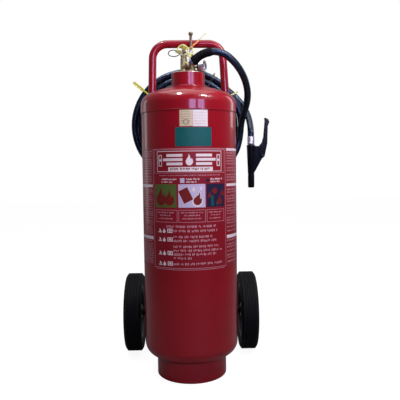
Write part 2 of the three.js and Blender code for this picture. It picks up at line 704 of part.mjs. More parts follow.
function addHose() {
  addHoseEnd();
  add('hose_lead', swept(throughPoints(leadRoute), HOSE_RADIUS, 16, 8), hoseRubber);
  add('hose_tail', swept(throughPoints(tailRoute), HOSE_RADIUS, 4, 8), hoseRubber);
  add('hose_coil', turned([
    [COIL_INNER, COIL_FRONT], [COIL_OUTER, COIL_FRONT],
    [COIL_OUTER, COIL_BACK], [COIL_INNER, COIL_BACK],
  ]).rotateX(-Math.PI / 2).translate(COIL_X, 0, COIL_Z), hoseRubber);
  addCoilTie('coil_tie_left', 141, yellowPlastic);
  addCoilTie('coil_tie_right', 34, yellowPlastic);
  addCoilTie('coil_tie_top', 62, whitePlastic);
  addHoseBracket();
}

// ---------------------------------------------------------------- nozzle gun
// All in the gun's own frame: X towards the trigger, Z up, from the top of the barrel.
function addBarrel(gun) {
  add('gun_ferrule', turned([
    [6.2, -5.5], [8, -5.5], [8, 1.5], [9.5, 2.5], [9.5, 28], [6.2, 28],
  ], 24), chrome, gun);

  const barrel = turned([
    [0, -BARREL_LENGTH], [11.2, -BARREL_LENGTH], [14.7, -2], [13.7, 0], [0, 0],
  ], FINE);
  const web = plateXZ([
    [0, -4], [31, -4], [38, -22], [46, -32], [46, -40], [37, -47], [12, -92], [0, -92],
  ], WEB_THICKNESS);
  const below = -BARREL_LENGTH - 22;
  const nozzleSocket = -BARREL_LENGTH + 14;
  add('gun_body', cut(
    join(barrel, web),
    upright(8.3, 0, -6, 5, 24), // socket for the ferrule
    upright(6.2, 0, below, -5), // barrel bore
    upright(8.4, 0, below, nozzleSocket, 24),
    bar(5.5, [8, 0, PLUNGER_Z], [31, 0, PLUNGER_Z]), // plunger chamber
    bar(3, [0, 0, PLUNGER_Z], [60, 0, PLUNGER_Z]),
    acrossY(GUN_PIN_RADIUS + GAP, GUN_PIVOT.x, 20, GUN_PIVOT.z),
  ), blackPlastic, gun);

  const nozzleTop = -BARREL_LENGTH - GAP;
  add('gun_nozzle', turned([
    [6, -146], [11, -146], [11, nozzleTop], [8, nozzleTop],
    [8, nozzleSocket - GAP], [6, nozzleSocket - GAP],
  ], 24), blackPlastic, gun);
}

function addPlunger(gun) {
  const lieAlongX = (geometry) => geometry.rotateY(Math.PI / 2).translate(0, 0, PLUNGER_Z);
  add('gun_plunger', lieAlongX(turned([
    [0, 3], [2.4, 3], [2.4, 27], [5.1, 27], [5.1, 30], [2.6, 30], [2.6, 43.5], [1.8, 44.7],
    [0, 44.7],
  ], FINE)), steel, gun);
  add('gun_spring', lieAlongX(spring(4, 0.7, 8.4, 26.7, 4)), steel, gun);
}

// Two cheeks outside the body's web, with one hollow-backed arm above it.
function addTrigger(gun) {
  const outline = [
    [25, -30], [25, -8], [33, 2], [38, 8], [43.6, 27], [47, 63], [48.5, 80], [46.6, 91.5],
    [51.5, 90], [59, 86], [62.4, 77], [57, 63], [54.9, 4], [51.5, -12], [46, -38], [41, -44], [34, -44],
  ];
  const [thickness, edge] = [26, 1.5];
  const inside = WEB_THICKNESS / 2 + 0.6;
  add('gun_trigger', cut(
    plateXZ(outline, thickness, 0, edge),
    block([0, -inside, -60], [45, inside, 6]),
    block([0, -inside, -60], [80, inside, -20]),
    block([30, -inside, 12], [49.5, inside, 78]), // hollow back of the arm
    acrossY(GUN_PIN_RADIUS + GAP, GUN_PIVOT.x, 20, GUN_PIVOT.z),
  ), blackPlastic, gun);
  add('gun_pivot_pin',
    acrossY(GUN_PIN_RADIUS, GUN_PIVOT.x, 14.5, GUN_PIVOT.z, 16), steel, gun);
}

function addGun() {
  const gun = new THREE.Group();
  gun.position.set(GUN.x, GUN.y, GUN.z);
  assembly.add(gun);
  addBarrel(gun);
  addPlunger(gun);
  addTrigger(gun);
}

addVessel();
addHandle();
addAxle();
addWheels();
addValveBody();
addStem();
addYoke();
addLever();
addSafetyPin();
addSeal();
addGauge();
addHose();
addGun();

// The part's origin is the middle of the floor under the box that the extinguisher fills
// without its hose.
const onHose = /^(hose_lead|hose_tail|hose_coil|hose_nut|coil_tie|gun_ferrule)/;
const box = new THREE.Box3();
assembly.updateMatrixWorld(true);
assembly.traverse((mesh) => {
  if (mesh.isMesh && !onHose.test(mesh.name)) box.expandByObject(mesh, true);
});
const centre = box.getCenter(new THREE.Vector3());
assembly.position.set(-centre.x, -centre.y, -box.min.z);

export default extinguisher;
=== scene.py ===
import math
import random

import bmesh
import bpy
from mathutils import Matrix, Vector


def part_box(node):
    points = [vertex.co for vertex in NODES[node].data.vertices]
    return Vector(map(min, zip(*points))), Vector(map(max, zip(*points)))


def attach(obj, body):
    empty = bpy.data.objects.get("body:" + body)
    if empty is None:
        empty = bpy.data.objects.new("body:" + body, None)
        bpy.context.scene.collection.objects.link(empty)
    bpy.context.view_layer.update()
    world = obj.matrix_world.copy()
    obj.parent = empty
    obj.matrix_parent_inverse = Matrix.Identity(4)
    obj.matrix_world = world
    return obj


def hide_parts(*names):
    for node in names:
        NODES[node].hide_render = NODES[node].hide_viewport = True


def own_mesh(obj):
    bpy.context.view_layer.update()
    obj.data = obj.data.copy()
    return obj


# Wheeled dry-powder fire extinguisher. Shapes are written in millimetres from the vessel's axis
# on the floor, +X right, -Y front, +Z up, and at() turns them into metres in the row's frame.
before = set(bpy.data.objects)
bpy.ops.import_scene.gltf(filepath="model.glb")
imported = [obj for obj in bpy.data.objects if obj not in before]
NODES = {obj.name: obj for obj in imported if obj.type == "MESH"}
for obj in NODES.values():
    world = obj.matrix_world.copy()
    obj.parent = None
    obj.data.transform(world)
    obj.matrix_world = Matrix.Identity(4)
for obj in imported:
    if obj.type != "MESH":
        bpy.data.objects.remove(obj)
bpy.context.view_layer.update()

MM = 0.001
shell_low, shell_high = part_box("cylinder_body")
AXIS = Vector(((shell_low.x + shell_high.x) / 2, (shell_low.y + shell_high.y) / 2, 0.0))


def at(x, y, z):
    return AXIS + Vector((x, y, z)) * MM


def in_mm(point):
    return (Vector(point) - AXIS) / MM


def box_mm(node):
    low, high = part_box(node)
    return in_mm(low), in_mm(high)


def linked(name, data):
    """A new object in the scene."""
    obj = bpy.data.objects.new(name, data)
    bpy.context.scene.collection.objects.link(obj)
    return obj


def around(count):
    """Angles of count even steps round a circle."""
    return [2 * math.pi * k / count for k in range(count)]


# ---------------------------------------------------------------- driving dimensions
WALL = 3
VESSEL_RADIUS = (shell_high.x - shell_low.x) / 2 / MM
HEAD_RADIUS = 152
KNUCKLE = 40
CROWN = 328
TOP_FLANGE_END = 862
BOTTOM_FLANGE_END = 107
SHELL_BOTTOM = shell_low.z / MM
SHELL_TOP = shell_high.z / MM
RING_RADIUS = 112
RING_WALL = 4
COLLAR_RADIUS = 53
COLLAR_TOP = box_mm("neck_collar")[1].z

TUBE_RADIUS = 12.7
HANDLE_Y = 34
HANDLE_TOP = 1066
HANDLE_BEND = 48
HANDLE_HALF_WIDTH = 114

AXLE = (box_mm("axle")[0] + box_mm("axle")[1]) / 2
WHEEL_X = 205.5
TYRE_RADIUS = 140
TYRE_HALF = 30  # half of the tyre's width
HUB_HALF = 23.5
HOSE_RADIUS = 11
ELBOW = Vector((0, -50, 983.5))
OUTLET = Vector((0, 0, 980))
HOSE_START = Vector((19.7, -55.7, 994.9))
COIL_X = -3
COIL_Z = 814
STEM_X = -13
PIVOT = Vector((10, 0, 1032))
GAUGE = Vector((30, 0, 986))
GAUGE_TURN = -25  # degrees that the dial is turned towards the front
GUN = Vector((212, 110, 742))
GUN_PIVOT = Vector((38, 0, -36))  # the trigger's pin, from GUN
PLUNGER_Z = -14  # the plunger's height, from GUN


# ---------------------------------------------------------------- camera
def add_camera():
    camera = bpy.data.cameras.new("camera")
    camera.sensor_width = 36
    camera.lens = 46.8
    camera.clip_start = 0.05
    eye = linked("camera", camera)
    pan, pitch, roll = math.radians(1.124), math.radians(3.48), math.radians(-0.74)
    eye.matrix_world = (
        Matrix.Translation(at(0, -1677, 664))
        @ Matrix.Rotation(-pan, 4, "Z")
        @ Matrix.Rotation(math.pi / 2 - pitch, 4, "X")
        @ Matrix.Rotation(roll, 4, "Z")
    )
    bpy.context.scene.camera = eye


# ---------------------------------------------------------------- finishes
class Finish:
    """A Principled material whose colour, roughness and bump come from layered noise."""

    def __init__(self, name, colour, roughness, **fixed):
        self.material = bpy.data.materials.new(name)
        self.material.use_nodes = True
        self.nodes = self.material.node_tree.nodes
        self.links = self.material.node_tree.links
        self.shader = self.nodes["Principled BSDF"]
        self.shader.inputs["Base Color"].default_value = (*colour, 1)
        self.shader.inputs["Roughness"].default_value = roughness
        for socket, value in fixed.items():
            self.shader.inputs[socket.replace("_", " ")].default_value = value
        self.place = self.nodes.new("ShaderNodeTexCoord").outputs["Object"]

    def noise(self, size_mm, detail=3, rough=0.55, stretch=(1, 1, 1)):
        """Noise whose grains are about size_mm across."""
        mapping = self.nodes.new("ShaderNodeMapping")
        mapping.inputs["Scale"].default_value = stretch
        texture = self.nodes.new("ShaderNodeTexNoise")
        texture.inputs["Scale"].default_value = 1 / (size_mm * MM)
        texture.inputs["Detail"].default_value = detail
        texture.inputs["Roughness"].default_value = rough
        self.links.new(self.place, mapping.inputs["Vector"])
        self.links.new(mapping.outputs["Vector"], texture.inputs["Vector"])
        return texture.outputs["Fac"]

    def height(self):
        split = self.nodes.new("ShaderNodeSeparateXYZ")
        self.links.new(self.place, split.inputs[0])
        return split.outputs["Z"]

    def span(self, source, low, high, to_low=0.0, to_high=1.0):
        """source from low to high becomes to_low to to_high, and stays inside them."""
        node = self.nodes.new("ShaderNodeMapRange")
        node.inputs["From Min"].default_value = low
        node.inputs["From Max"].default_value = high
        node.inputs["To Min"].default_value = to_low
        node.inputs["To Max"].default_value = to_high
        self.links.new(source, node.inputs["Value"])
        return node.outputs["Result"]

    def patches(self, size_mm, detail, low, high, most=1.0, rough=0.55):
        """Soft-edged patches about size_mm across, with most inside them and 0 outside."""
        return self.span(self.noise(size_mm, detail, rough), low, high, 0, most)

    def times(self, first, second):
        node = self.nodes.new("ShaderNodeMath")
        node.operation = "MULTIPLY"
        self.links.new(first, node.inputs[0])
        self.links.new(second, node.inputs[1])
        return node.outputs[0]

    def _mix(self, kind, ports, socket, mask, value):
        node = self.nodes.new("ShaderNodeMix")
        node.data_type = kind
        first, second, result = ports
        target = self.shader.inputs[socket]
        if target.is_linked:
            self.links.new(target.links[0].from_socket, node.inputs[first])
        else:
            node.inputs[first].default_value = target.default_value
        node.inputs[second].default_value = value
        self.links.new(mask, node.inputs[0])
        self.links.new(node.outputs[result], target)
        return self

    def colour(self, mask, colour):
        """Where mask is 1 the surface has this colour."""
        return self._mix("RGBA", (6, 7, 2), "Base Color", mask, (*colour, 1))

    def rough(self, mask, value):
        return self._mix("FLOAT", (2, 3, 0), "Roughness", mask, value)

    def bump(self, source, depth_mm, strength=1.0):
        node = self.nodes.new("ShaderNodeBump")
        node.inputs["Distance"].default_value = depth_mm * MM
        node.inputs["Strength"].default_value = strength
        target = self.shader.inputs["Normal"]
        if target.is_linked:
            self.links.new(target.links[0].from_socket, node.inputs["Normal"])
        self.links.new(source, node.inputs["Height"])
        self.links.new(node.outputs["Normal"], target)
        return self


def red_paint():
    """Baked gloss enamel: orange peel, faint fading, chips and scuffs low on the foot."""
    paint = Finish(
        "red_paint", (0.25, 0.0016, 0.0105), 0.3, Specular_IOR_Level=0.14, Coat_Weight=0.5,
        Coat_Roughness=0.035,
    )
    paint.colour(paint.patches(90, 4, 0.35, 0.7, 0.55), (0.21, 0.0014, 0.0085))
    paint.bump(paint.noise(5, 2), 0.03, 0.3)
    paint.bump(paint.noise(70, 1), 0.4, 0.08)
    foot = paint.span(paint.height(), 0.004, 0.035, 1, 0)
    scuffs = paint.patches(5, 6, 0.6, 0.66, rough=0.7)
    wear = paint.times(foot, scuffs)
    paint.colour(wear, (0.10, 0.075, 0.07))
    paint.rough(wear, 0.6)
    paint.bump(wear, -0.12, 0.6)
    specks = paint.patches(1.6, 2, 0.74, 0.78, 0.35)
    paint.colour(specks, (0.13, 0.004, 0.007))
    return paint.material


def tyre_rubber():
    tyre = Finish("tyre_rubber", (0.0032, 0.0032, 0.005), 0.6, Specular_IOR_Level=0.12)
    dust = tyre.patches(14, 6, 0.42, 0.78, 0.5, 0.65)
    tyre.colour(dust, (0.010, 0.0095, 0.0095))
    tyre.rough(dust, 0.9)
    tyre.bump(tyre.noise(1.1, 3), 0.12, 0.5)
    tyre.bump(tyre.noise(9, 3), 0.3, 0.3)
    return tyre.material


def hose_rubber():
    """Smooth extruded cover with a faint cloth-wrap impression and chalky bloom; the blue in its
    colours and its reflections is a painted sheen.
    """
    hose = Finish(
        "hose_rubber", (0.0035, 0.0050, 0.0105), 0.27, Specular_IOR_Level=0.5,
        # Blue Specular Tint and bluish base colour: painted blue sheen on black rubber.
        Specular_Tint=(0.5, 0.66, 1.0, 1.0),
    )
    bloom = hose.patches(30, 5, 0.45, 0.75, 0.6)
    hose.colour(bloom, (0.008, 0.011, 0.019))
    hose.rough(bloom, 0.42)
    hose.bump(hose.noise(1.4, 2), 0.05, 0.5)
    return hose.material


def sleeve_rubber():
    sleeve = Finish("sleeve_rubber", (0.003, 0.003, 0.004), 0.6, Specular_IOR_Level=0.05)
    sleeve.colour(sleeve.patches(3, 5, 0.5, 0.7, 0.7), (0.006, 0.006, 0.006))
    sleeve.bump(sleeve.noise(1.5, 4), 0.35, 0.8)
    return sleeve.material


def cast_brass(name, colour, shade, roughness):
    brass = Finish(name, colour, roughness, Metallic=0.8)
    stain = brass.patches(9, 6, 0.4, 0.7, 0.8, 0.6)
    brass.colour(stain, shade)
    brass.rough(stain, roughness + 0.16)
    brass.bump(brass.noise(0.9, 3), 0.05, 0.6)
    return brass.material


def plated(name, colour, roughness, dull):
    """Plated steel: fine polishing scratches and a few dull patches."""
    steel = Finish(name, colour, roughness, Metallic=1.0)
    patch = steel.patches(7, 5, 0.5, 0.75)
    steel.colour(patch, tuple(0.72 * c for c in colour))
    steel.rough(patch, dull)
    steel.bump(steel.noise(0.6, 2, stretch=(1, 1, 7)), 0.012, 0.5)
    return steel.material


def black_enamel():
    enamel = Finish("black_enamel", (0.006, 0.006, 0.007), 0.4, Specular_IOR_Level=0.25)
    worn = enamel.patches(4, 6, 0.62, 0.68, 0.6, 0.7)
    enamel.colour(worn, (0.03, 0.027, 0.025))
    enamel.rough(worn, 0.7)
    enamel.bump(enamel.noise(2.4, 2), 0.05, 0.4)
    return enamel.material


def moulded(name, colour, shade, roughness, grain_mm=0.5, depth_mm=0.03, **fixed):
    """Moulded plastic: fine spark-eroded grain, slight flow marks, rubbed shine."""
    plastic = Finish(name, colour, roughness, **fixed)
    flow = plastic.patches(11, 3, 0.4, 0.7, 0.7)
    plastic.colour(flow, shade)
    plastic.rough(plastic.patches(16, 4, 0.45, 0.7), roughness * 0.7)
    plastic.bump(plastic.noise(grain_mm, 2), depth_mm, 0.7)
    return plastic.material


def ink(name, colour, roughness=0.4):
    """Screen-printed ink, a little uneven in cover."""
    print_ink = Finish(name, colour, roughness, Specular_IOR_Level=0.16, Coat_Weight=0.08)
    thin = print_ink.patches(2.2, 3, 0.52, 0.72, 0.35)
    print_ink.colour(thin, tuple(0.6 * c + 0.4 * r for c, r in zip(colour, (0.18, 0.006, 0.011))))
    print_ink.rough(thin, roughness + 0.15)
    return print_ink.material


def paper(name, colour, shade):
    sticker = Finish(
        name, colour, 0.42, Specular_IOR_Level=0.12, Coat_Weight=0.12, Coat_Roughness=0.08,
    )
    sticker.colour(sticker.patches(12, 5, 0.4, 0.7, 0.6), shade)
    sticker.bump(sticker.noise(8, 3), 0.15, 0.25)
    sticker.rough(sticker.patches(5, 3, 0.5, 0.7), 0.55)
    return sticker.material


def label_film():
    """Thin red vinyl wrapped round the vessel, slightly flatter than the paint."""
    film = Finish(
        "label_film", (0.225, 0.0045, 0.014), 0.3, Specular_IOR_Level=0.25, Coat_Weight=0.22,
        Coat_Roughness=0.1,
    )
    film.colour(film.patches(70, 4, 0.35, 0.7, 0.5), (0.185, 0.004, 0.011))
    film.rough(film.patches(18, 4, 0.45, 0.7), 0.4)
    film.bump(film.noise(24, 2), 0.12, 0.2)
    return film.material


def lens_glass():
    glass = Finish(
        "lens_glass", (0.95, 0.97, 0.97), 0.03, Transmission_Weight=1.0, IOR=1.49,
    )
    glass.rough(glass.patches(4, 5, 0.6, 0.75), 0.12)
    return glass.material


RED = red_paint()
TYRE = tyre_rubber()
HOSE = hose_rubber()
SLEEVE = sleeve_rubber()
BRASS = cast_brass("cast_brass", (0.42, 0.36, 0.19), (0.26, 0.22, 0.11), 0.44)
# A darker copy of the cast brass, for the valve stem and the lever.
DARK_BRASS = cast_brass("darker_brass", (0.22, 0.17, 0.10), (0.10, 0.075, 0.045), 0.34)
CHROME = plated("nickel_plate", (0.78, 0.78, 0.82), 0.38, 0.46)
# Grey nickel with a lilac tint in its colour: the lilac is a painted reflection of the window.
NICKEL_LILAC_SHEEN = plated("nickel_lilac_sheen", (0.36, 0.34, 0.44), 0.36, 0.46)
ZINC = plated("zinc_plate", (0.52, 0.53, 0.55), 0.32, 0.5)
WIRE = plated("dark_wire", (0.05, 0.036, 0.032), 0.45, 0.55)
# Pale steel tone used only for the band on the collar's top edge, which is a painted highlight of
# the chamfer.
COLLAR_HIGHLIGHT_STEEL = plated("collar_highlight_steel", (0.62, 0.50, 0.36), 0.36, 0.5)
ENAMEL = black_enamel()
BLACK = moulded(
    "black_plastic", (0.0025, 0.003, 0.007), (0.004, 0.005, 0.010), 0.2, Specular_IOR_Level=0.16,
)
WHITE = moulded("white_plastic", (0.74, 0.74, 0.70), (0.62, 0.61, 0.56), 0.45)
YELLOW = moulded(
    "yellow_plastic", (0.82, 0.76, 0.07), (0.66, 0.60, 0.05), 0.38, grain_mm=1.5,
    Subsurface_Weight=0.1, Subsurface_Scale=0.002,
)
DARK_OLIVE = moulded(
    "dark_olive_plastic", (0.035, 0.035, 0.012), (0.02, 0.02, 0.008), 0.4, grain_mm=1.5,
)
OLIVE = moulded("olive_plastic", (0.30, 0.25, 0.025), (0.20, 0.16, 0.02), 0.4, grain_mm=1.5)
PALE = moulded(
    "pale_plastic", (0.60, 0.56, 0.20), (0.48, 0.43, 0.13), 0.35, grain_mm=1.5,
    Subsurface_Weight=0.15, Subsurface_Scale=0.002,
)
ORANGE = moulded("orange_plastic", (0.56, 0.25, 0.05), (0.44, 0.18, 0.04), 0.38, grain_mm=1.5)
GLASS = lens_glass()
FILM = label_film()
INK_WHITE = ink("ink_white", (0.72, 0.60, 0.70))
INK_FINE = ink("ink_fine", (0.50, 0.24, 0.32))
INK_GREEN = ink("ink_green", (0.075, 0.115, 0.028))
INK_LILAC = ink("ink_lilac", (0.50, 0.42, 0.66))
INK_NAVY = ink("ink_navy", (0.012, 0.012, 0.045))
INK_RED = ink("ink_red", (0.16, 0.012, 0.012))
INK_TEAL = ink("ink_teal", (0.004, 0.075, 0.085))
INK_DARK = ink("ink_dark", (0.05, 0.03, 0.04))
INK_DIAL_GREEN = ink("ink_dial_green", (0.02, 0.30, 0.06))
PAPER_BEIGE = paper("paper_beige", (0.56, 0.44, 0.34), (0.48, 0.36, 0.28))
PAPER_WHITE = paper("paper_white", (0.66, 0.58, 0.66), (0.58, 0.50, 0.57))
PAPER_TEAL = paper("paper_teal", (0.006, 0.085, 0.10), (0.005, 0.065, 0.08))


# ---------------------------------------------------------------- meshes
def build(name, shape, material, nodes=None, body="root", sharp=35, place=None):
    """An object from (points, faces) in millimetres, riding on a body. It stands for the CAD node
    of its own name, if there is one, unless nodes says otherwise."""
    points, faces = shape
    if place is not None:
        points = [place @ Vector(p) for p in points]
    mesh = bpy.data.meshes.new(name)
    mesh.from_pydata([at(*p) for p in points], [], faces)
    work = bmesh.new()
    work.from_mesh(mesh)
    bmesh.ops.recalc_face_normals(work, faces=work.faces)
    work.to_mesh(mesh)
    work.free()
    mesh.materials.append(material)
    shaded(mesh, sharp)
    if nodes is None:
        nodes = [name] if name in NODES else []
    return settle(linked(name, mesh), nodes, body)


def shaded(mesh, sharp):
    """Smooth shading that stops at edges sharper than so many degrees."""
    mesh.shade_smooth()
    mesh.set_sharp_from_angle(angle=math.radians(sharp))


def settle(obj, nodes=(), body="root"):
    nodes = [nodes] if isinstance(nodes, str) else list(nodes)
    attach(obj, body)
    if nodes:
        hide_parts(*nodes)
    return obj


def joined(*shapes):
    points, faces = [], []
    for more_points, more_faces in shapes:
        start = len(points)
        points += [Vector(p) for p in more_points]
        faces += [tuple(i + start for i in face) for face in more_faces]
    return points, faces


def moved(shape, matrix):
    return [matrix @ Vector(p) for p in shape[0]], shape[1]


def rounded(corners, closed=True, steps=3):
    """Outline from (a, b) or (a, b, fillet) corners with their fillets drawn."""
    outline = []
    for i, corner in enumerate(corners):
        here = Vector(corner[:2])
        if len(corner) < 3 or (not closed and i in (0, len(corners) - 1)):
            outline.append(tuple(here))
            continue
        before = Vector(corners[i - 1][:2]) - here
        after = Vector(corners[(i + 1) % len(corners)][:2]) - here
        opening = before.angle(after)
        if opening > math.pi - 0.01:
            outline.append(tuple(here))
            continue
        reach = corner[2] / math.tan(opening / 2)
        start = here + before.normalized() * min(reach, 0.49 * before.length)
        end = here + after.normalized() * min(reach, 0.49 * after.length)
        for k in range(steps + 1):
            t = k / steps
            outline.append(tuple(start * (1 - t) ** 2 + here * (2 * t * (1 - t)) + end * t**2))
    return outline


def held(outline, margin=0.35, shortest=2.2):
    """The outline with extra points near the ends of its long straight stretches, so that a
    fillet's shading doesn't spread along them."""
    points = []
    for a, b in zip(outline, outline[1:]):
        points.append(a)
        a, b = Vector(a), Vector(b)
        if (b - a).length > shortest:
            share = margin / (b - a).length
            points += [tuple(a.lerp(b, share)), tuple(a.lerp(b, 1 - share))]
    return [*points, outline[-1]]


def lathe(corners, sides=96, radius_at=None):
    """Turned solid about Z from (radius, height[, fillet]) corners. radius_at bends the round
    section: it gets the radius and the angle and gives the radius there."""
    on_axis = corners[0][0] == 0
    outline = held(rounded(corners, closed=not on_axis))
    points, faces, rings = [], [], []
    for radius, height in outline:
        if radius < 1e-6:
            rings.append([len(points)])
            points.append(Vector((0, 0, height)))
            continue
        rings.append(list(range(len(points), len(points) + sides)))
        for angle in around(sides):
            r = radius if radius_at is None else radius_at(radius, angle)
            points.append(Vector((r * math.cos(angle), r * math.sin(angle), height)))
    pairs = list(zip(rings, rings[1:]))
    if not on_axis:
        pairs.append((rings[-1], rings[0]))
    for one, two in pairs:
        for k in range(sides):
            after = (k + 1) % sides
            if len(one) == 1:
                faces.append((one[0], two[after], two[k]))
            elif len(two) == 1:
                faces.append((one[k], one[after], two[0]))
            else:
                faces.append((one[k], one[after], two[after], two[k]))
    return points, faces


def hexagon(across_corners):
    """radius_at for a nut: flat sides, with corners no further out than the lathed radius."""
    apothem = across_corners * math.cos(math.pi / 6)

    def radius_at(radius, angle):
        if radius < apothem * 0.8:
            return radius
        turn = (angle + math.pi / 6) % (math.pi / 3) - math.pi / 6
        return min(radius, apothem / math.cos(turn))

    return radius_at


def nut(across_corners, bottom, top, bore):
    """Hexagon with turned chamfers at both ends, round bore, about Z."""
    apothem = across_corners * math.cos(math.pi / 6)
    edge = (across_corners - apothem) * 0.6
    corners = [
        (bore + 0.6, bottom), (apothem, bottom), (across_corners, bottom + edge),
        (across_corners, top - edge),
        (apothem, top), (bore + 0.6, top), (bore, top - 0.6), (bore, bottom + 0.6),
    ]
    return lathe(corners, 72, hexagon(across_corners))


def sweep(path, section, closed=False, scale=None, up=Vector((0, 0, 1))):
    """Solid with a section of (a, b) points along a path, a across it and b along up."""
    path = [Vector(p) for p in path]
    count, sides = len(path), len(section)
    points = []
    side = None
    for i, here in enumerate(path):
        if closed:
            ahead = path[(i + 1) % count] - path[i - 1]
        else:
            ahead = path[min(i + 1, count - 1)] - path[max(i - 1, 0)]
        ahead.normalize()
        if side is None:
            side = ahead.cross(up)
            if side.length < 0.1:
                side = ahead.cross(Vector((0, 1, 0)))
        side = (side - ahead * side.dot(ahead)).normalized()
        over = side.cross(ahead)
        grow = scale(i / (count if closed else count - 1)) if scale else 1
        points += [here + (side * a + over * b) * grow for a, b in section]
    faces = []
    for i in range(count if closed else count - 1):
        start, after = i * sides, ((i + 1) % count) * sides
        for k in range(sides):
            n = (k + 1) % sides
            faces.append((start + k, start + n, after + n, after + k))
    if not closed:
        faces.append(tuple(range(sides)))
        faces.append(tuple(range((count - 1) * sides, count * sides)))
    return points, faces


def circle(radius, sides=12):
    return [(radius * math.cos(a), radius * math.sin(a)) for a in around(sides)]


def strap(width, thickness, edge=0.3):
    w, t = width / 2, thickness / 2
    return rounded([(-w, -t, edge), (w, -t, edge), (w, t, edge), (-w, t, edge)], steps=2)


def through(points, spans=6):
    """Smooth path through points (centripetal Catmull-Rom)."""
    points = [Vector(p) for p in points]
    points = [2 * points[0] - points[1], *points, 2 * points[-1] - points[-2]]
    path = []
    for i in range(1, len(points) - 2):
        a, b, c, d = points[i - 1:i + 3]
        ab = math.sqrt((b - a).length)
        bc = math.sqrt((c - b).length)
        cd = math.sqrt((d - c).length)
        leave = ((b - a) / ab - (c - a) / (ab + bc) + (c - b) / bc) * bc
        reach = ((c - b) / bc - (d - b) / (bc + cd) + (d - c) / cd) * bc
        for k in range(spans):
            t = k / spans
            path.append(
                b * (2 * t**3 - 3 * t**2 + 1) + leave * (t**3 - 2 * t**2 + t)
                + c * (3 * t**2 - 2 * t**3) + reach * (t**3 - t**2)
            )
    path.append(points[-2])
    return path


def prism(outline, low, high):
    """Outline in X and Z, standing between two values of Y."""
    count = len(outline)
    points = [Vector((x, low, z)) for x, z in outline] + [Vector((x, high, z)) for x, z in outline]
    faces = [tuple(range(count)), tuple(range(2 * count - 1, count - 1, -1))]
    for k in range(count):
        n = (k + 1) % count
        faces.append((k, count + k, count + n, n))
    return points, faces


def bar(radius, start, end, sides=24):
    return sweep([start, end], circle(radius, sides))


def cad_shape(node):
    mesh = NODES[node].data
    return [in_mm(v.co) for v in mesh.vertices], [tuple(f.vertices) for f in mesh.polygons]


def bevelled(obj, width_mm, segments=2, angle=30):
    edge = obj.modifiers.new("edges", "BEVEL")
    edge.width = width_mm * MM
    edge.segments = segments
    edge.limit_method = "ANGLE"
    edge.angle_limit = math.radians(angle)
    edge.harden_normals = True
    return bake(obj, smooth=False)


def cast(obj, voxel_mm, passes):
    """The skin of a casting or moulding: one body with every edge softened."""
    remesh = obj.modifiers.new("skin", "REMESH")
    remesh.mode = "VOXEL"
    remesh.voxel_size = voxel_mm * MM
    smooth = obj.modifiers.new("soft", "SMOOTH")
    smooth.factor = 0.5
    smooth.iterations = passes
    bake(obj)
    obj.data.shade_smooth()
    return obj


def bake(obj, smooth=True):
    bpy.context.view_layer.update()
    graph = bpy.context.evaluated_depsgraph_get()
    mesh = bpy.data.meshes.new_from_object(obj.evaluated_get(graph))
    old = obj.data
    obj.modifiers.clear()
    obj.data = mesh
    bpy.data.meshes.remove(old)
    if smooth:
        shaded(mesh, 35)
    return obj


def weld_bead(name, path, radius, closed=True):
    """Rippled fillet weld along a path, painted over."""
    path = [Vector(p) for p in path]
    length = sum((b - a).length for a, b in zip(path, path[1:]))
    ripples = max(3, round(length / 4.5))

    def swell(share):
        return 1 + 0.09 * abs(math.sin(math.pi * ripples * share)) - 0.05

    return build(name, sweep(path, circle(radius, 10), closed, swell), RED, sharp=80)


def even(path, step, closed=False):
    """The same path with points a fixed step apart."""
    path = [Vector(p) for p in path]
    if closed:
        path.append(path[0])
    spaced, left = [path[0]], step
    for a, b in zip(path, path[1:]):
        length = (b - a).length
        while left <= length:
            spaced.append(a.lerp(b, left / length))
            left += step
        left -= length
    if closed and (spaced[-1] - spaced[0]).length < step / 2:
        spaced.pop()
    return spaced


# ---------------------------------------------------------------- hose
LEAD_DEPTH = 146.3  # how far back the lead is where it becomes the coil
LEAD_RADIUS = 190.8  # and how far from the coil's middle
LEAD_ANGLE = -36.7  # and in which direction from it
COIL_TURN = 1348  # degrees that the coil goes round
COIL_STEP = 15
LEAD_ROUTE = [
    HOSE_START, (29.8, -58.6, 1003.4), (43, -61.8, 1011.4), (60, -63.5, 1017.2),
    (83, -62, 1020.3), (114, -57, 1013), (142, -49, 992), (165, -36, 965), (182, -14, 935),
    (191, 14, 904), (192, 48, 877), (188, 84, 854), (183, 116, 830), (180, 136, 802),
    (177.5, 146, 770), (167, LEAD_DEPTH, 730), (150, LEAD_DEPTH, 700),
]
TAIL_ROUTE = [
    (149, 190.5, 932), (179, 187.5, 902), (200, 181, 872), (208, 168, 849), (212, 149, 826),
    (213, 130, 806), (212.3, 116, 792), (GUN.x, GUN.y, GUN.z + 38), (GUN.x, GUN.y, GUN.z + 1),
]
LANES = (187.2, 164.8, 142.4)  # radii of the coil's turns
LAYERS = (169.2, 191.6)  # the turns' places behind the vessel
COIL_FRONT = 150  # the ties hold every strand that is further back than this
TIE_LEAN = 6  # degrees that a cable tie's tail leans
SLEEVE_LENGTH = 62
SLEEVE_OVERLAP = 5.2  # how far the sleeve reaches over the nut's swivel


def ease(value, start, end):
    share = min(1, max(0, (value - start) / (end - start)))
    return share * share * (3 - 2 * share)


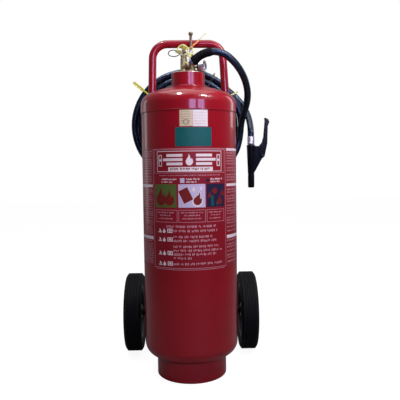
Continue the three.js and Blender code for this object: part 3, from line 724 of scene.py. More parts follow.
def coil_point(turned):
    """A point on the coil, after so many degrees clockwise from the end of the lead."""
    radius = LEAD_RADIUS
    radius += (LANES[0] - LEAD_RADIUS) * ease(turned, 0, 48)
    radius += (LANES[1] - LANES[0]) * ease(turned, 334, 376)
    radius += (LANES[2] - LANES[1]) * ease(turned, 735, 812)
    radius += (LANES[0] - LANES[2]) * ease(turned, 1098, 1176)
    depth = LEAD_DEPTH
    depth += (LAYERS[0] - LEAD_DEPTH) * ease(turned, 4, 48)
    depth += (LAYERS[1] - LAYERS[0]) * ease(turned, 1035, 1095)
    angle = math.radians(LEAD_ANGLE - turned)
    return Vector((COIL_X + radius * math.cos(angle), depth, COIL_Z + radius * math.sin(angle)))


def hose_path():
    coil = [coil_point(turned) for turned in range(COIL_STEP, COIL_TURN, COIL_STEP)]
    return through([*LEAD_ROUTE, *coil, *TAIL_ROUTE], 3)


def add_hose():
    path = hose_path()
    curve = bpy.data.curves.new("hose", "CURVE")
    curve.dimensions = "3D"
    curve.bevel_depth = HOSE_RADIUS * MM
    curve.bevel_resolution = 7
    curve.use_fill_caps = True
    spline = curve.splines.new("POLY")
    spline.points.add(len(path) - 1)
    for point, place in zip(spline.points, path):
        point.co = (*at(*place), 1)
    curve.materials.append(HOSE)
    hose = linked("hose", curve)
    settle(hose, ("hose_lead", "hose_coil", "hose_tail"))
    return hose, path


def crossings(path, centre, outward, across):
    """(radius, depth) of every strand of the coil in one direction from its centre."""
    found = []
    for a, b in zip(path, path[1:]):
        one, two = (a - centre).dot(across), (b - centre).dot(across)
        if one * two > 0 or min(a.y, b.y) < COIL_FRONT:
            continue
        here = a.lerp(b, one / (one - two)) - centre
        if here.dot(outward) > 0:
            found.append((here.dot(outward), here.y))
    return found


def hull(points):
    """Convex outline of points in a plane."""
    points = sorted(points)

    def half(line):
        chain = []
        for p in line:
            while len(chain) > 1:
                (ax, ay), (bx, by) = chain[-2:]
                if (bx - ax) * (p[1] - ay) - (by - ay) * (p[0] - ax) > 0:
                    break
                chain.pop()
            chain.append(p)
        return chain[:-1]

    return half(points) + half(points[::-1])


def add_tie(name, path, degrees, material, width, tail_length, tail_width):
    """Ratchet cable tie drawn round the coil's strands, with its head and its tail outside."""
    outward = Vector((math.cos(math.radians(degrees)), 0, math.sin(math.radians(degrees))))
    along = Vector((-outward.z, 0, outward.x))
    centre = Vector((COIL_X, 0, COIL_Z))
    clear = HOSE_RADIUS + 0.8
    strands = crossings(path, centre, outward, along)
    outline = hull([(r + x, y + z) for r, y in strands for x, z in circle(clear, 28)])
    loop = [centre + outward * r + Vector((0, y, 0)) for r, y in outline]
    band = sweep(even(loop, 2.5, True), strap(1.3, width), True, up=along)
    far = max(outline, key=lambda p: p[0] - 0.2 * p[1])
    head_at = centre + outward * (far[0] + 1.5) + Vector((0, far[1] - 2, 0))
    turn = Matrix((
        (along.x, 0, outward.x, head_at.x), (along.y, 1, outward.y, head_at.y),
        (along.z, 0, outward.z, head_at.z), (0, 0, 0, 1),
    ))
    half = width / 2 + 1.6
    head = prism(
        rounded([(-half, -3, 1), (half, -3, 1), (half, 3, 1.2), (-half, 3, 1.2)]), -3.2, 3.2,
    )
    tip = tail_width / 2
    tail_outline = rounded([
        (-tip, 0), (tip, 0), (tip, tail_length - 5, 2), (tip * 0.5, tail_length, 1),
        (-tip * 0.5, tail_length, 1), (-tip, tail_length - 5, 2),
    ])
    tail = prism(tail_outline, -0.6, 0.6)
    bend = Matrix.Rotation(math.radians(TIE_LEAN), 4, "X")
    parts = joined(band, moved(head, turn), moved(tail, turn @ bend))
    return build(name, parts, material, sharp=30)


def run_along(path, distance):
    """The first stretch of a path, of a given length."""
    part, gone = [path[0]], 0
    for a, b in zip(path, path[1:]):
        step = (b - a).length
        if gone + step >= distance:
            part.append(a.lerp(b, (distance - gone) / step))
            return part
        gone += step
        part.append(b)
    return part


def placed(origin, degrees=0, axis="Z"):
    """Matrix that turns a shape about an axis and then moves it to origin."""
    return Matrix.Translation(Vector(origin)) @ Matrix.Rotation(math.radians(degrees), 4, axis)


def axes_to(direction, origin):
    """Matrix whose local Z points along direction."""
    turn = Vector((0, 0, 1)).rotation_difference(Vector(direction)).to_matrix().to_4x4()
    return Matrix.Translation(Vector(origin)) @ turn


def add_hose_fittings(path):
    back = (ELBOW - HOSE_START).normalized()
    place = axes_to(back, HOSE_START)
    swivel = lathe([
        (6, 0.6), (12.5, 0.6, 0.8), (12.5, 2.4, 0.3), (11.9, 2.9, 0.3), (12.5, 3.4, 0.3),
        (12.5, 6.2, 0.3), (6, 6.2),
    ], 64)
    grip = nut(14.2, 5.6, 13, 6)
    # The nut's lilac tint is a painted reflection.
    nut_piece = build("hose_nut", joined(swivel, grip), NICKEL_LILAC_SHEEN, place=place, sharp=28)

    start = [HOSE_START + back * SLEEVE_OVERLAP, *even(run_along(path, SLEEVE_LENGTH), 1.5)]

    def sleeve_size(share):
        wrinkle = 0.02 * math.sin(40 * share) * math.sin(math.pi * share)
        taper = 1 - 0.1 * ease(share, 0.88, 1)
        return taper + wrinkle + 0.11 * ease(share, 0.3, 0.05)

    sleeve = build(
        "hose_sleeve", sweep(start, circle(13, 32), scale=sleeve_size), SLEEVE,
        sharp=60,
    )
    ferrule = build("gun_ferrule", lathe([
        (6.3, -5.4), (7.9, -5.4), (7.9, 1.6), (9.5, 2.6, 0.5), (12.3, 3.4, 0.8), (12.3, 9, 0.5),
        (11.8, 9.8, 0.3), (12.3, 10.6, 0.5), (12.3, 19, 0.5), (11.8, 19.8, 0.3),
        (12.3, 20.6, 0.5), (12.3, 26.5, 0.5), (11.4, 28, 0.5), (6.3, 28),
    ], 64), CHROME, place=placed(GUN), sharp=30)
    return [nut_piece, sleeve, ferrule]


add_camera()
hose, HOSE_PATH = add_hose()
ties = [
    add_tie("coil_tie_left", HOSE_PATH, 141, YELLOW, 5, 42, 11),
    add_tie("coil_tie_right", HOSE_PATH, 34, PALE, 4.8, 9, 4.6),
    add_tie("coil_tie_top", HOSE_PATH, 62, DARK_OLIVE, 2.2, 7, 3),
]
fittings = add_hose_fittings(HOSE_PATH)


# ---------------------------------------------------------------- vessel
def crown_drop(flange_radius):
    offset = flange_radius - KNUCKLE
    return offset, math.sqrt((CROWN - KNUCKLE) ** 2 - offset**2)


def head_arc(flange_radius, flange_end, up, hole, inset, steps=(14, 16)):
    """Section of a dished head from its flange to its hole, as in the CAD."""
    offset, rise = crown_drop(flange_radius)
    knuckle, crown = KNUCKLE - inset, CROWN - inset
    tangent = math.atan2(rise, offset)
    corners = []
    for i in range(steps[0] + 1):
        angle = tangent * i / steps[0]
        corners.append(
            (offset + knuckle * math.cos(angle), flange_end + up * knuckle * math.sin(angle))
        )
    edge = math.acos(hole / crown)
    for i in range(1, steps[1] + 1):
        angle = tangent + (edge - tangent) * i / steps[1]
        height = crown * math.sin(angle) - rise
        corners.append((crown * math.cos(angle), flange_end + up * height))
    return corners


def head_height(radius, flange_radius):
    """Height of a head's surface above its flange end."""
    offset, rise = crown_drop(flange_radius)
    tangent = math.atan2(rise, offset)
    if radius > offset + KNUCKLE * math.cos(tangent):
        return math.sqrt(max(0, KNUCKLE**2 - (radius - offset) ** 2))
    return math.sqrt(CROWN**2 - radius**2) - rise


def ring_path(radius, z, step=0.75):
    count = round(2 * math.pi * radius / step)
    return [(*point, z) for point in circle(radius, count)]


def weld_line(name, x, y, bottom, count, radius):
    """A straight weld that runs up the vessel."""
    line = [(x, y, bottom + 0.75 * k) for k in range(count)]
    weld_bead(name, line, radius, closed=False)


def add_vessel():
    around = 256
    inside = VESSEL_RADIUS - WALL
    build("cylinder_shell", lathe([
        (inside, SHELL_BOTTOM), (VESSEL_RADIUS, SHELL_BOTTOM),
        (VESSEL_RADIUS, SHELL_TOP), (inside, SHELL_TOP),
    ], around), RED, "cylinder_body")

    start = SHELL_TOP + 0.3
    build("top_head", lathe([
        (HEAD_RADIUS - 1, start), (HEAD_RADIUS, start + 1),
        *head_arc(HEAD_RADIUS, TOP_FLANGE_END, 1, 40, 0),
        *reversed(head_arc(HEAD_RADIUS, TOP_FLANGE_END, 1, 40, WALL)),
        (HEAD_RADIUS - WALL, start),
    ], around), RED, "top_dome", sharp=28)

    bottom = head_arc(VESSEL_RADIUS, BOTTOM_FLANGE_END, -1, 12, 0)
    under = head_arc(VESSEL_RADIUS, BOTTOM_FLANGE_END, -1, 12, WALL)
    start = SHELL_BOTTOM - 0.3
    build("bottom_head", lathe([
        (0, BOTTOM_FLANGE_END - head_height(0, VESSEL_RADIUS)), *reversed(bottom),
        (VESSEL_RADIUS, start), (inside, start), *under,
        (0, BOTTOM_FLANGE_END - head_height(0, VESSEL_RADIUS) + WALL),
    ], around), RED, "bottom_dome", sharp=28)

    inner = RING_RADIUS - RING_WALL
    top = BOTTOM_FLANGE_END - head_height(RING_RADIUS, VESSEL_RADIUS) - 0.3
    build("foot_ring", lathe([
        (inner, top), (inner, RING_WALL, 4), (RING_RADIUS - 16, RING_WALL, 1),
        (RING_RADIUS - 16, 0, 1), (RING_RADIUS, 0, 4), (RING_RADIUS, top),
    ], around), RED, "base_ring", sharp=40)

    seat = TOP_FLANGE_END + head_height(COLLAR_RADIUS, HEAD_RADIUS)
    spigot = TOP_FLANGE_END + head_height(39.7, HEAD_RADIUS)
    build("neck_collar", lathe([
        (24.6, COLLAR_TOP), (COLLAR_RADIUS, COLLAR_TOP, 3.6), (COLLAR_RADIUS, seat - 2),
        (39.7, spigot - 2), (39.7, spigot - 14), (24, spigot - 14), (24, COLLAR_TOP - 0.6),
    ], 160), RED, sharp=40)

    # Pale metal band on the collar's top edge: a painted highlight standing in for the chamfer's
    # highlight.
    build("collar_lip_highlight", lathe([
        (46, COLLAR_TOP - 3), (COLLAR_RADIUS + 0.15, COLLAR_TOP - 3),
        (COLLAR_RADIUS + 0.15, COLLAR_TOP - 1.6, 1.4), (COLLAR_RADIUS - 3, COLLAR_TOP + 0.25),
        (46, COLLAR_TOP + 0.25),
    ], 160), COLLAR_HIGHLIGHT_STEEL)

    weld_bead("seam_weld_top", ring_path(VESSEL_RADIUS + 0.7, SHELL_TOP), 1.7)
    weld_bead("seam_weld_bottom", ring_path(VESSEL_RADIUS - 0.85, SHELL_BOTTOM), 1)
    weld_bead("collar_weld", ring_path(COLLAR_RADIUS + 0.6, seat), 3)
    weld_bead("foot_weld", ring_path(RING_RADIUS + 0.3, top), 2.2)
    seam_x = -42
    seam_y = math.sqrt(VESSEL_RADIUS**2 - seam_x**2) - 0.7
    weld_line("shell_weld", seam_x, seam_y, SHELL_BOTTOM + 2, 860, 1.4)


# ---------------------------------------------------------------- handle
def handle_route():
    """Centreline of the handle tube, from its left foot to its right one."""
    foot_z = 880
    left = Vector((-HANDLE_HALF_WIDTH - 4, HANDLE_Y, foot_z))
    right = Vector((HANDLE_HALF_WIDTH + 8, HANDLE_Y, foot_z))
    middle_x = HANDLE_HALF_WIDTH - HANDLE_BEND
    middle_z = HANDLE_TOP - HANDLE_BEND
    bend = [
        Vector((HANDLE_BEND * math.cos(a), 0, HANDLE_BEND * math.sin(a)))
        for a in [math.pi / 2 * k / 14 for k in range(15)]
    ]
    left_bend = [Vector((-middle_x - b.x, HANDLE_Y, middle_z + b.z)) for b in bend]
    right_bend = [Vector((middle_x + b.x, HANDLE_Y, middle_z + b.z)) for b in reversed(bend)]
    route = [left.lerp(left_bend[0], k / 24) for k in range(24)] + left_bend
    route += [left_bend[-1].lerp(right_bend[0], k / 14) for k in range(1, 14)]
    return route + right_bend + [right_bend[-1].lerp(right, k / 24) for k in range(1, 25)]


def add_handle():
    sides = 40
    points, faces = sweep(handle_route(), circle(TUBE_RADIUS, sides))

    def on_head(point, above):
        radius = math.hypot(point.x, point.y)
        return max(point.z, TOP_FLANGE_END + head_height(radius, HEAD_RADIUS) + above)

    points = [Vector((p.x, p.y, on_head(p, -1))) for p in points]
    build("handle_tube", (points, faces), RED, sharp=60)
    for side, foot_x in (("left", -117.4), ("right", 120.8)):
        foot = []
        for a, b in circle(TUBE_RADIUS + 0.6, 120):
            x, y = foot_x + a, HANDLE_Y + b
            foot.append((x, y, TOP_FLANGE_END + head_height(math.hypot(x, y), HEAD_RADIUS) + 0.4))
        weld_bead(f"handle_weld_{side}", foot, 2.4)


# ---------------------------------------------------------------- running gear
SPLIT_PIN_X = 233.5
SIDES = (("left", -1), ("right", 1))


def add_axle():
    for side, sign in SIDES:
        bracket = build(f"axle_bracket_{side}", cad_shape(f"axle_bracket_{side}"), RED)
        bevelled(bracket, 1.2, 3)
        for face, x in (("outer", 98.6), ("inner", 89.4)):
            y = math.sqrt(VESSEL_RADIUS**2 - x**2) + 0.8
            weld_line(f"bracket_weld_{side}_{face}", sign * x, y, 130, 172, 2)

        place = placed(AXLE, sign * 90, "Y")
        build(f"axle_spacer_{side}", lathe([
            (10.3, 98.3), (14, 98.3, 0.8), (14, 181.7, 0.8), (10.3, 181.7),
        ], 64), ENAMEL, place=place)
        build(f"axle_washer_{side}", lathe([
            (10.3, 229.3), (17, 229.3, 0.4), (17, 231.3, 0.7), (10.3, 231.3, 0.4),
        ], 64), ZINC, place=place)
        eye = [
            (3.4 * math.sin(a), 17.5 - 3.4 * math.cos(a))
            for a in [math.radians(335 - 31 * k) for k in range(11)]
        ]
        route = [(5.5, -13.5), (0.9, -11), *eye, (-0.9, -11), (-4.5, -14.5)]
        pin = sweep(through([(sign * SPLIT_PIN_X, y, z) for y, z in route], 3), circle(1.1, 12))
        build(f"split_pin_{side}", pin, ZINC, f"axle_pin_{side}", place=placed(AXLE))
    half = box_mm("axle")[1].x
    build("axle", lathe([
        (0, -half), (10, -half, 1.6), (10, half, 1.6), (0, half),
    ], 64), ZINC, place=placed((0, AXLE.y, AXLE.z), 90, "Y"))


def tyre_corners():
    """Section of the tyre: raised band on each side wall, five grooves round the tread."""
    tread, depth = TYRE_RADIUS, 3.4
    side = [
        (96, 26), (101, 27.8, 2), (112, TYRE_HALF, 3), (116, TYRE_HALF, 0.6),
        (117.2, TYRE_HALF + 0.6, 0.5), (120.5, TYRE_HALF + 0.6, 0.5), (121.7, TYRE_HALF, 0.6),
        (131, TYRE_HALF, 5), (tread, 23.5, 3),
    ]
    corners = [(corner[0], -corner[1], *corner[2:]) for corner in side]
    for middle in (-15.6, -7.8, 0, 7.8, 15.6):
        corners += [
            (tread, middle - 1.7, 0.5), (tread - depth, middle - 1, 0.4),
            (tread - depth, middle + 1, 0.4), (tread, middle + 1.7, 0.5),
        ]
    return corners + side[::-1]


def rim_ribs():
    """Eight stiffening ribs on each face of the web."""
    shapes = []
    outer_face = [(24, 2.2), (24, 15), (32, 13), (80, 7.5), (80, -2.4)]
    inner_face = [(24, -3.8), (24, -15), (32, -14), (80, -12), (80, -7.8)]
    for angle in around(8):
        turn = Matrix.Rotation(angle, 4, "Z")
        for outline in (outer_face, inner_face):
            shapes.append(moved(prism(outline, -1.9, 1.9), turn))
    return joined(*shapes)


def add_wheels():
    for side, sign in SIDES:
        body = f"wheel_{side}"
        place = placed((sign * WHEEL_X, AXLE.y, AXLE.z), sign * 90, "Y")
        build(f"tyre_{side}", lathe(tyre_corners(), 192), TYRE, body=body,
              place=place, sharp=50)
        rim = lathe([
            (16, -HUB_HALF), (25, -HUB_HALF, 1.5), (25, -4, 4), (80, -8, 6), (88, -23, 4),
            (95.7, -26, 1), (95.7, 26, 1), (88, 23, 4), (88, 4, 3), (80, -3, 6), (25, 2, 4),
            (25, HUB_HALF, 1.5), (16, HUB_HALF),
        ], 128)
        build(f"wheel_rim_{side}", rim, ENAMEL, body=body, place=place)
        ribs = build(f"rim_ribs_{side}", rim_ribs(), ENAMEL, body=body,
                     place=place)
        bevelled(ribs, 0.8, 2)
        build(f"wheel_bushing_{side}", lathe([
            (10.3, -HUB_HALF), (15.7, -HUB_HALF, 0.6), (15.7, HUB_HALF, 0.6), (10.3, HUB_HALF),
        ], 64), WHITE, body=body, place=place)


# ---------------------------------------------------------------- valve
def add_valve():
    build("neck_gasket", lathe([
        (22.5, 966.3), (28, 966.3, 0.9), (28, 968.3, 0.9), (22.5, 968.3),
    ], 64), SLEEVE)
    body = build("valve_body", cad_shape("valve_body"), BRASS)
    cast(body, 0.7, 5)

    up = placed((STEM_X, 0, 0))
    build("gland_nut", nut(11, 1012.3, 1021, 4.3), BRASS, place=up, sharp=25)
    build("valve_stem", lathe([
        (0, 968), (8, 968, 1), (8, 974, 1), (4, 976, 1), (4, 1034.4), (5.5, 1034.4, 0.5),
        (5.5, 1040, 0.8), (4, 1041.5, 0.6), (0, 1041.5),
    ], 48), DARK_BRASS, body="stem", place=up)
    yoke = build("valve_yoke", cad_shape("valve_yoke"), BRASS)
    cast(yoke, 0.45, 3)
    pin = lathe([
        (0, -11.6), (2.4, -11.6, 0.6), (2.8, -11), (2.8, 9.6), (4.4, 9.6, 0.6), (4.2, 11.4, 0.9),
        (0, 11.6),
    ], 40)
    build("lever_pivot_pin", pin, ZINC, place=placed(PIVOT, 90, "X"))

    fork = build("lever_fork", cad_shape("valve_lever"), DARK_BRASS, "valve_lever", "lever")
    cast(fork, 0.45, 4)
    rod = lathe([
        (0, PIVOT.z + 4), (5.0, PIVOT.z + 4, 0.5), (4.8, 1042, 0.4), (4.5, 1043), (4.3, 1082),
        (5.4, 1085.5, 1), (7, 1088, 1.4), (7, 1092.6, 1.8), (4.6, 1095.2, 1.6), (0, 1095.4),
    ], 48)
    build("lever_rod", rod, DARK_BRASS, body="lever",
          place=placed((PIVOT.x, 0, 0)), sharp=40)


def add_outlet():
    towards = (OUTLET - ELBOW).normalized()
    back = (HOSE_START - ELBOW).normalized()
    build("outlet_elbow", joined(
        sweep([ELBOW - towards * 1, ELBOW + towards * 13.3], circle(10, 32)),
        lathe_ball(ELBOW, 10.2),
        sweep([ELBOW, ELBOW + back * 4], circle(9.4, 32)),
    ), BRASS)
    cast(bpy.data.objects["outlet_elbow"], 0.6, 4)
    collar = nut(12.4, 16.2, 22.5, 8)
    build("outlet_nut", collar, BRASS, place=axes_to(towards, ELBOW), sharp=25)


def lathe_ball(centre, radius):
    arc = [(radius * math.sin(a), -radius * math.cos(a))
           for a in [math.pi * k / 16 for k in range(1, 16)]]
    return moved(lathe([(0, -radius), *arc, (0, radius)], 32), placed(centre))


# ---------------------------------------------------------------- safety pin and seals
def leaf(x, y, z, half_length, tilt, thickness=1.7):
    """Crowned leaf-shaped tag standing in XZ, with a raised rim."""
    outline = [
        (half_length * math.cos(a), 0.46 * half_length * math.sin(a) * (1 + 0.12 * math.cos(a)))
        for a in around(40)
    ]
    inner = [(0.8 * a, 0.74 * b) for a, b in outline]
    slab = prism(outline, -thickness / 2, thickness / 2)
    crown = prism(inner, -thickness / 2 - 0.5, thickness / 2 + 0.5)
    place = placed((x, y, z)) @ Matrix.Rotation(tilt, 4, "Y")
    return moved(joined(slab, crown), place)


def add_safety_pin():
    pin_z = 1029.5
    loop = [
        (-43.8 + 18 * math.cos(a), 0.9 * math.sin(2 * a), pin_z + 10 * math.sin(a))
        for a in around(80)
    ]
    shaft = sweep([(-26, 0, pin_z), (-18.4, 0, pin_z), (-17.6, 0, pin_z)], circle(1.7, 20))
    eye = sweep([(-28.2 + x, y, pin_z) for x, y in circle(2.7, 32)], circle(0.9, 10), True)
    build("safety_pin", joined(sweep(loop, circle(1.4, 14), True), shaft, eye), WIRE, body="pin",
          sharp=50)
    front = build("seal_tag_front", leaf(-29, -7.5, 1032.5, 11, 0.05), OLIVE, body="pin")
    bevelled(front, 0.4, 2)
    back = build("seal_tag_back", leaf(-11, 10, 1047.5, 13.5, 0.3), OLIVE, body="pin")
    bevelled(back, 0.4, 2)
    ribbon = [
        (-33, -8.9, 1035), (-31, -9.2, 1042), (-26, -9.4, 1049), (-17, -9.8, 1053.6),
        (-8, -10.2, 1051), (0, -10.8, 1045), (5, -11.6, 1038),
    ]
    build("seal_string", sweep(through(ribbon, 6), strap(1.2, 4)), PALE, body="pin",
          sharp=60)


def add_seal():
    ring = [
        (8 + 12.5 * math.cos(a), -6 + 11 * math.sin(a), 1036 + 12.5 * math.sin(a))
        for a in around(48)
    ]
    build("seal_loop", sweep(ring, strap(3.2, 1.3), True, up=Vector((0, 1, 0))), PALE,
          body="lever", sharp=60)
    body = rounded([(-6.5, -8.5, 3), (6.5, -8.5, 3), (6.5, 7, 2.5), (-6.5, 7, 2.5)], steps=4)
    face = rounded([(-4.6, -6.4, 2), (4.6, -6.4, 2), (4.6, 5, 2), (-4.6, 5, 2)], steps=4)
    hung = placed((5, -17.2, 1021)) @ Matrix.Rotation(0.2, 4, "Y")
    seal = build("seal_body", moved(joined(prism(body, -1.4, 1.4), prism(face, -2.1, 2.1)), hung),
                 PALE, body="lever")
    bevelled(seal, 0.5, 2)
    knot = lathe([(0, 1044), (5.3, 1044, 1), (5.6, 1046.5, 1), (5.3, 1049, 1), (0, 1049)], 32)
    build("seal_clasp", moved(knot, placed((PIVOT.x, 0, 0))), ORANGE, body="lever",
          sharp=40)
    grip = [(13, -4, 1049), (21, -5, 1056), (31, -5, 1064), (37, -5, 1070)]
    build("seal_grip", sweep(through(grip, 6), strap(2, 5)), ORANGE, body="lever",
          sharp=60)
    strip = [(34, -5, 1067), (42, -5, 1074), (50, -5.6, 1082), (58, -6.5, 1090)]
    build("seal_tail", sweep(through(strip, 6), strap(1.1, 2.4)), PALE, body="lever", sharp=60)


# ---------------------------------------------------------------- pressure gauge
def sector(inner, outer, start, end, z, thickness):
    """Part of a flat ring, in degrees, about Z."""
    steps = max(2, round(abs(end - start) / 4))
    arc = [math.radians(start + (end - start) * k / steps) for k in range(steps + 1)]
    outline = [(outer * math.cos(a), outer * math.sin(a)) for a in arc]
    outline += [(inner * math.cos(a), inner * math.sin(a)) for a in reversed(arc)]
    flat = prism([(x, -y) for x, y in outline], 0, thickness)
    return moved(flat, placed((0, 0, z + thickness), -90, "X"))


def add_gauge():
    place = placed(GAUGE, GAUGE_TURN) @ placed((0, 0, 0), 90, "Y")
    shank = bar(3.7, (21, 0, GAUGE.z), (30.5, 0, GAUGE.z))
    build("gauge_stem", joined(shank, moved(nut(9, 0, 4.2, 2), place)), BRASS, sharp=25)
    build("gauge_case", lathe([
        (0, 4.5), (16.2, 4.5, 1), (18.2, 6.5, 1.5), (18.2, 9.8), (16.7, 9.8), (16.7, 6), (0, 6),
    ], 96), ENAMEL, place=place, sharp=30)
    build("gauge_bezel", lathe([
        (16.7, 10), (18.2, 10, 0.3), (18.2, 20.5, 0.4), (19.2, 21.5, 0.6), (19.2, 24.4, 0.8),
        (18.2, 25.2, 0.6), (16.8, 24.6, 0.5),
    ], 96), CHROME, place=place, sharp=30)
    build("gauge_dial", lathe([(1.6, 16), (16.4, 16), (16.4, 17), (1.6, 17)], 96), WHITE,
          place=place)
    build("dial_green", sector(9, 13.5, 62, 118, 17.02, 0.1), INK_DIAL_GREEN,
          place=place)
    build("dial_red", joined(
        sector(9, 13.5, 118.5, 225, 17.02, 0.1), sector(9, 13.5, -45, 61.5, 17.02, 0.1),
    ), INK_RED, place=place)
    build("dial_ticks", joined(*[
        sector(14, 15.8, degrees - 1.2, degrees + 1.2, 17.02, 0.1)
        for degrees in range(-45, 226, 27)
    ]), INK_DARK, place=place)
    needle = build("gauge_needle", cad_shape("gauge_needle"), ENAMEL, body="needle")
    bevelled(needle, 0.15, 2)
    build("gauge_lens", lathe([
        (0, 21), (16.4, 21), (16.4, 22), (12, 22.6), (6, 23), (0, 23.1),
    ], 96), GLASS, place=place, sharp=60)


# ---------------------------------------------------------------- hose bracket and nozzle gun
def add_hose_bracket():
    bracket = build("hose_bracket", cad_shape("hose_bracket"), RED)
    bevelled(bracket, 1.2, 3)
    for side, x in (("left", -20.4), ("right", 20.4)):
        weld_line(f"hook_weld_{side}", x, HEAD_RADIUS + 0.4, 771, 120, 1.8)


def screw(x, z, y, facing):
    """Pan-head screw with a hexagon socket, seen from one side of the gun."""
    head = lathe([
        (1.5, 0), (3.6, 0, 0.4), (3.4, 1.5, 0.9), (1.9, 1.9, 0.2), (1.7, 0.7),
    ], 36, hexagon(1.9))
    return moved(head, placed((x, y, z), facing * -90, "X"))


def add_gun():
    place = placed(GUN)
    body = build("gun_body", cad_shape("gun_body"), BLACK)
    cast(body, 0.75, 6)
    build("barrel_rings", joined(*[
        lathe([(radius - 1.2, z), (radius + 0.5, z, 0.4), (radius + 0.5, z + 1.6, 0.4),
               (radius - 1.2, z + 1.6)], 64)
        for radius, z in ((14.4, -4.4), (14.1, -8.4), (11.3, -96.5), (11.5, -92.5))
    ]), BLACK, place=place)
    build("gun_nozzle", lathe([
        (6, -146, 0.5), (9.4, -146, 0.8), (10.2, -144.2, 0.5), (11, -141, 0.5), (11.2, -104, 0.5),
        (10.4, -103.2, 0.3), (10.4, -101.6, 0.3), (11.4, -100.8, 0.5), (11.4, -98.3, 0.5),
        (8, -98.3), (8, -84.3), (6, -84.3),
    ], 64), BLACK, place=place, sharp=30)
    screws = [screw(x, z, y, sign) for x, z in ((24, -60), (20, -30))
              for y, sign in ((-9, 1), (9, -1))]
    build("gun_screws", joined(*screws), ENAMEL, place=place)

    trigger = build("gun_trigger", cad_shape("gun_trigger"), BLACK, body="trigger")
    cast(trigger, 0.7, 5)
    plunger = lathe([
        (0, 3), (2.4, 3, 0.4), (2.4, 27), (5.1, 27, 0.4), (5.1, 30, 0.4), (2.6, 30), (2.6, 43.5),
        (1.8, 44.7, 0.4), (0, 44.7),
    ], 40)
    build("gun_plunger", plunger, ZINC, body="plunger",
          place=place @ placed((0, 0, PLUNGER_Z), 90, "Y"))
    pivot = lathe([
        (0, -15), (2.4, -15, 0.5), (2.9, -14.4), (2.9, 13.6), (4.6, 13.6, 0.5), (4.2, 15.4, 0.9),
        (0, 15.6),
    ], 40)
    build("gun_pivot_pin", pivot, ENAMEL, place=place @ placed(GUN_PIVOT, 90, "X"))


# ---------------------------------------------------------------- label and stickers
LABEL_LOW, LABEL_HIGH = 361, 727
PANEL = 118  # half width of the front panel, along the skin


def wrapped(name, outlines, material, lift, thickness):
    """Flat (u, z) outlines laid round the vessel: u is the distance along the skin from the
    front, lift the height above it."""
    step = 4.0
    work = bmesh.new()
    narrow = []
    for outline in outlines:
        across = [u for u, _ in outline]
        if max(across) - min(across) < step:
            narrow.append(outline)
        else:
            work.faces.new([work.verts.new((u, z, 0)) for u, z in outline])
    low = min([v.co.x for v in work.verts], default=0)
    high = max([v.co.x for v in work.verts], default=0)
    cut = math.ceil(low / step) * step
    while cut < high:
        bmesh.ops.bisect_plane(
            work, geom=work.verts[:] + work.edges[:] + work.faces[:], dist=1e-5,
            plane_co=(cut, 0, 0), plane_no=(1, 0, 0),
        )
        cut += step
    for outline in narrow:
        work.faces.new([work.verts.new((u, z, 0)) for u, z in outline])
    top = bmesh.ops.extrude_face_region(work, geom=work.faces[:], use_keep_orig=True)["geom"]
    for vert in top:
        if isinstance(vert, bmesh.types.BMVert):
            vert.co.z = thickness
    for vert in work.verts:
        angle = vert.co.x / VESSEL_RADIUS
        radius = VESSEL_RADIUS + lift + vert.co.z
        vert.co = at(radius * math.sin(angle), -radius * math.cos(angle), vert.co.y)
    bmesh.ops.recalc_face_normals(work, faces=work.faces)
    mesh = bpy.data.meshes.new(name)
    work.to_mesh(mesh)
    work.free()
    mesh.materials.append(material)
    shaded(mesh, 30)
    return settle(linked(name, mesh))


def rect(u0, u1, z0, z1):
    return [(u0, z0), (u1, z0), (u1, z1), (u0, z1)]


def frame_of(u0, u1, z0, z1, line):
    """Four bars that draw a rectangle's outline."""
    return [
        rect(u0, u1, z0, z0 + line), rect(u0, u1, z1 - line, z1),
        rect(u0, u0 + line, z0 + line, z1 - line), rect(u1 - line, u1, z0 + line, z1 - line),
    ]


def words(rng, u0, u1, z, height, fill=1.0):
    """A line of small plain blocks in groups, standing for print too small to read."""
    blocks, u = [], u0
    end = u0 + (u1 - u0) * fill
    width = max(1.1, 0.42 * height)
    while u < end - 2 * width:
        for _ in range(rng.randint(2, 7)):
            if u > end - width:
                break
            low = z + height * rng.choice((0, 0, 0.3))
            high = z + height * rng.choice((1, 1, 0.75))
            blocks.append(rect(u, u + width * rng.uniform(0.7, 1.1), low, high))
            u += width * 1.5
        u += width * 1.3
    return blocks


def scaled(outline, u, z, size, turn=0.0):
    cos, sin = math.cos(turn), math.sin(turn)
    return [(u + size * (a * cos - b * sin), z + size * (a * sin + b * cos)) for a, b in outline]


def round_dot(u, z, radius, sides=20):
    return [(u + a, z + b) for a, b in circle(radius, sides)]


FLAME = [
    (0, -1), (0.42, -0.86), (0.66, -0.45), (0.6, 0.0), (0.36, 0.34), (0.38, 0.02), (0.22, 0.2),
    (0.14, 0.62), (-0.1, 1), (-0.12, 0.55), (-0.4, 0.2), (-0.62, -0.2), (-0.58, -0.62),
    (-0.34, -0.9),
]
DROP = [(0, 1), (0.25, 0.45), (0.5, 0), (0.5, -0.4), (0.3, -0.75), (0, -0.88), (-0.3, -0.75),
        (-0.5, -0.4), (-0.5, 0), (-0.25, 0.45)]


def maker_plate():
    """Plain plate at the head of the label: a flame between stacks of bars and two frames."""
    marks = frame_of(-104, 104, 655, 716, 1.6)
    middle = 689
    marks.append(scaled(FLAME, 0, middle + 1, 17))
    for side in (-1, 1):
        for k, length in enumerate((50, 62, 50)):
            inner = side * 20
            z = middle - 15 + 12.5 * k
            marks.append(rect(*sorted((inner, inner + side * length)), z, z + 8))
        edge = side * 92
        marks += frame_of(*sorted((edge - 6, edge + 6)), middle - 18, middle + 16, 2.4)
        marks.append(round_dot(edge, middle, 3.4))
    marks.append(rect(-64, 72, 656.5, 668.5))
    return marks


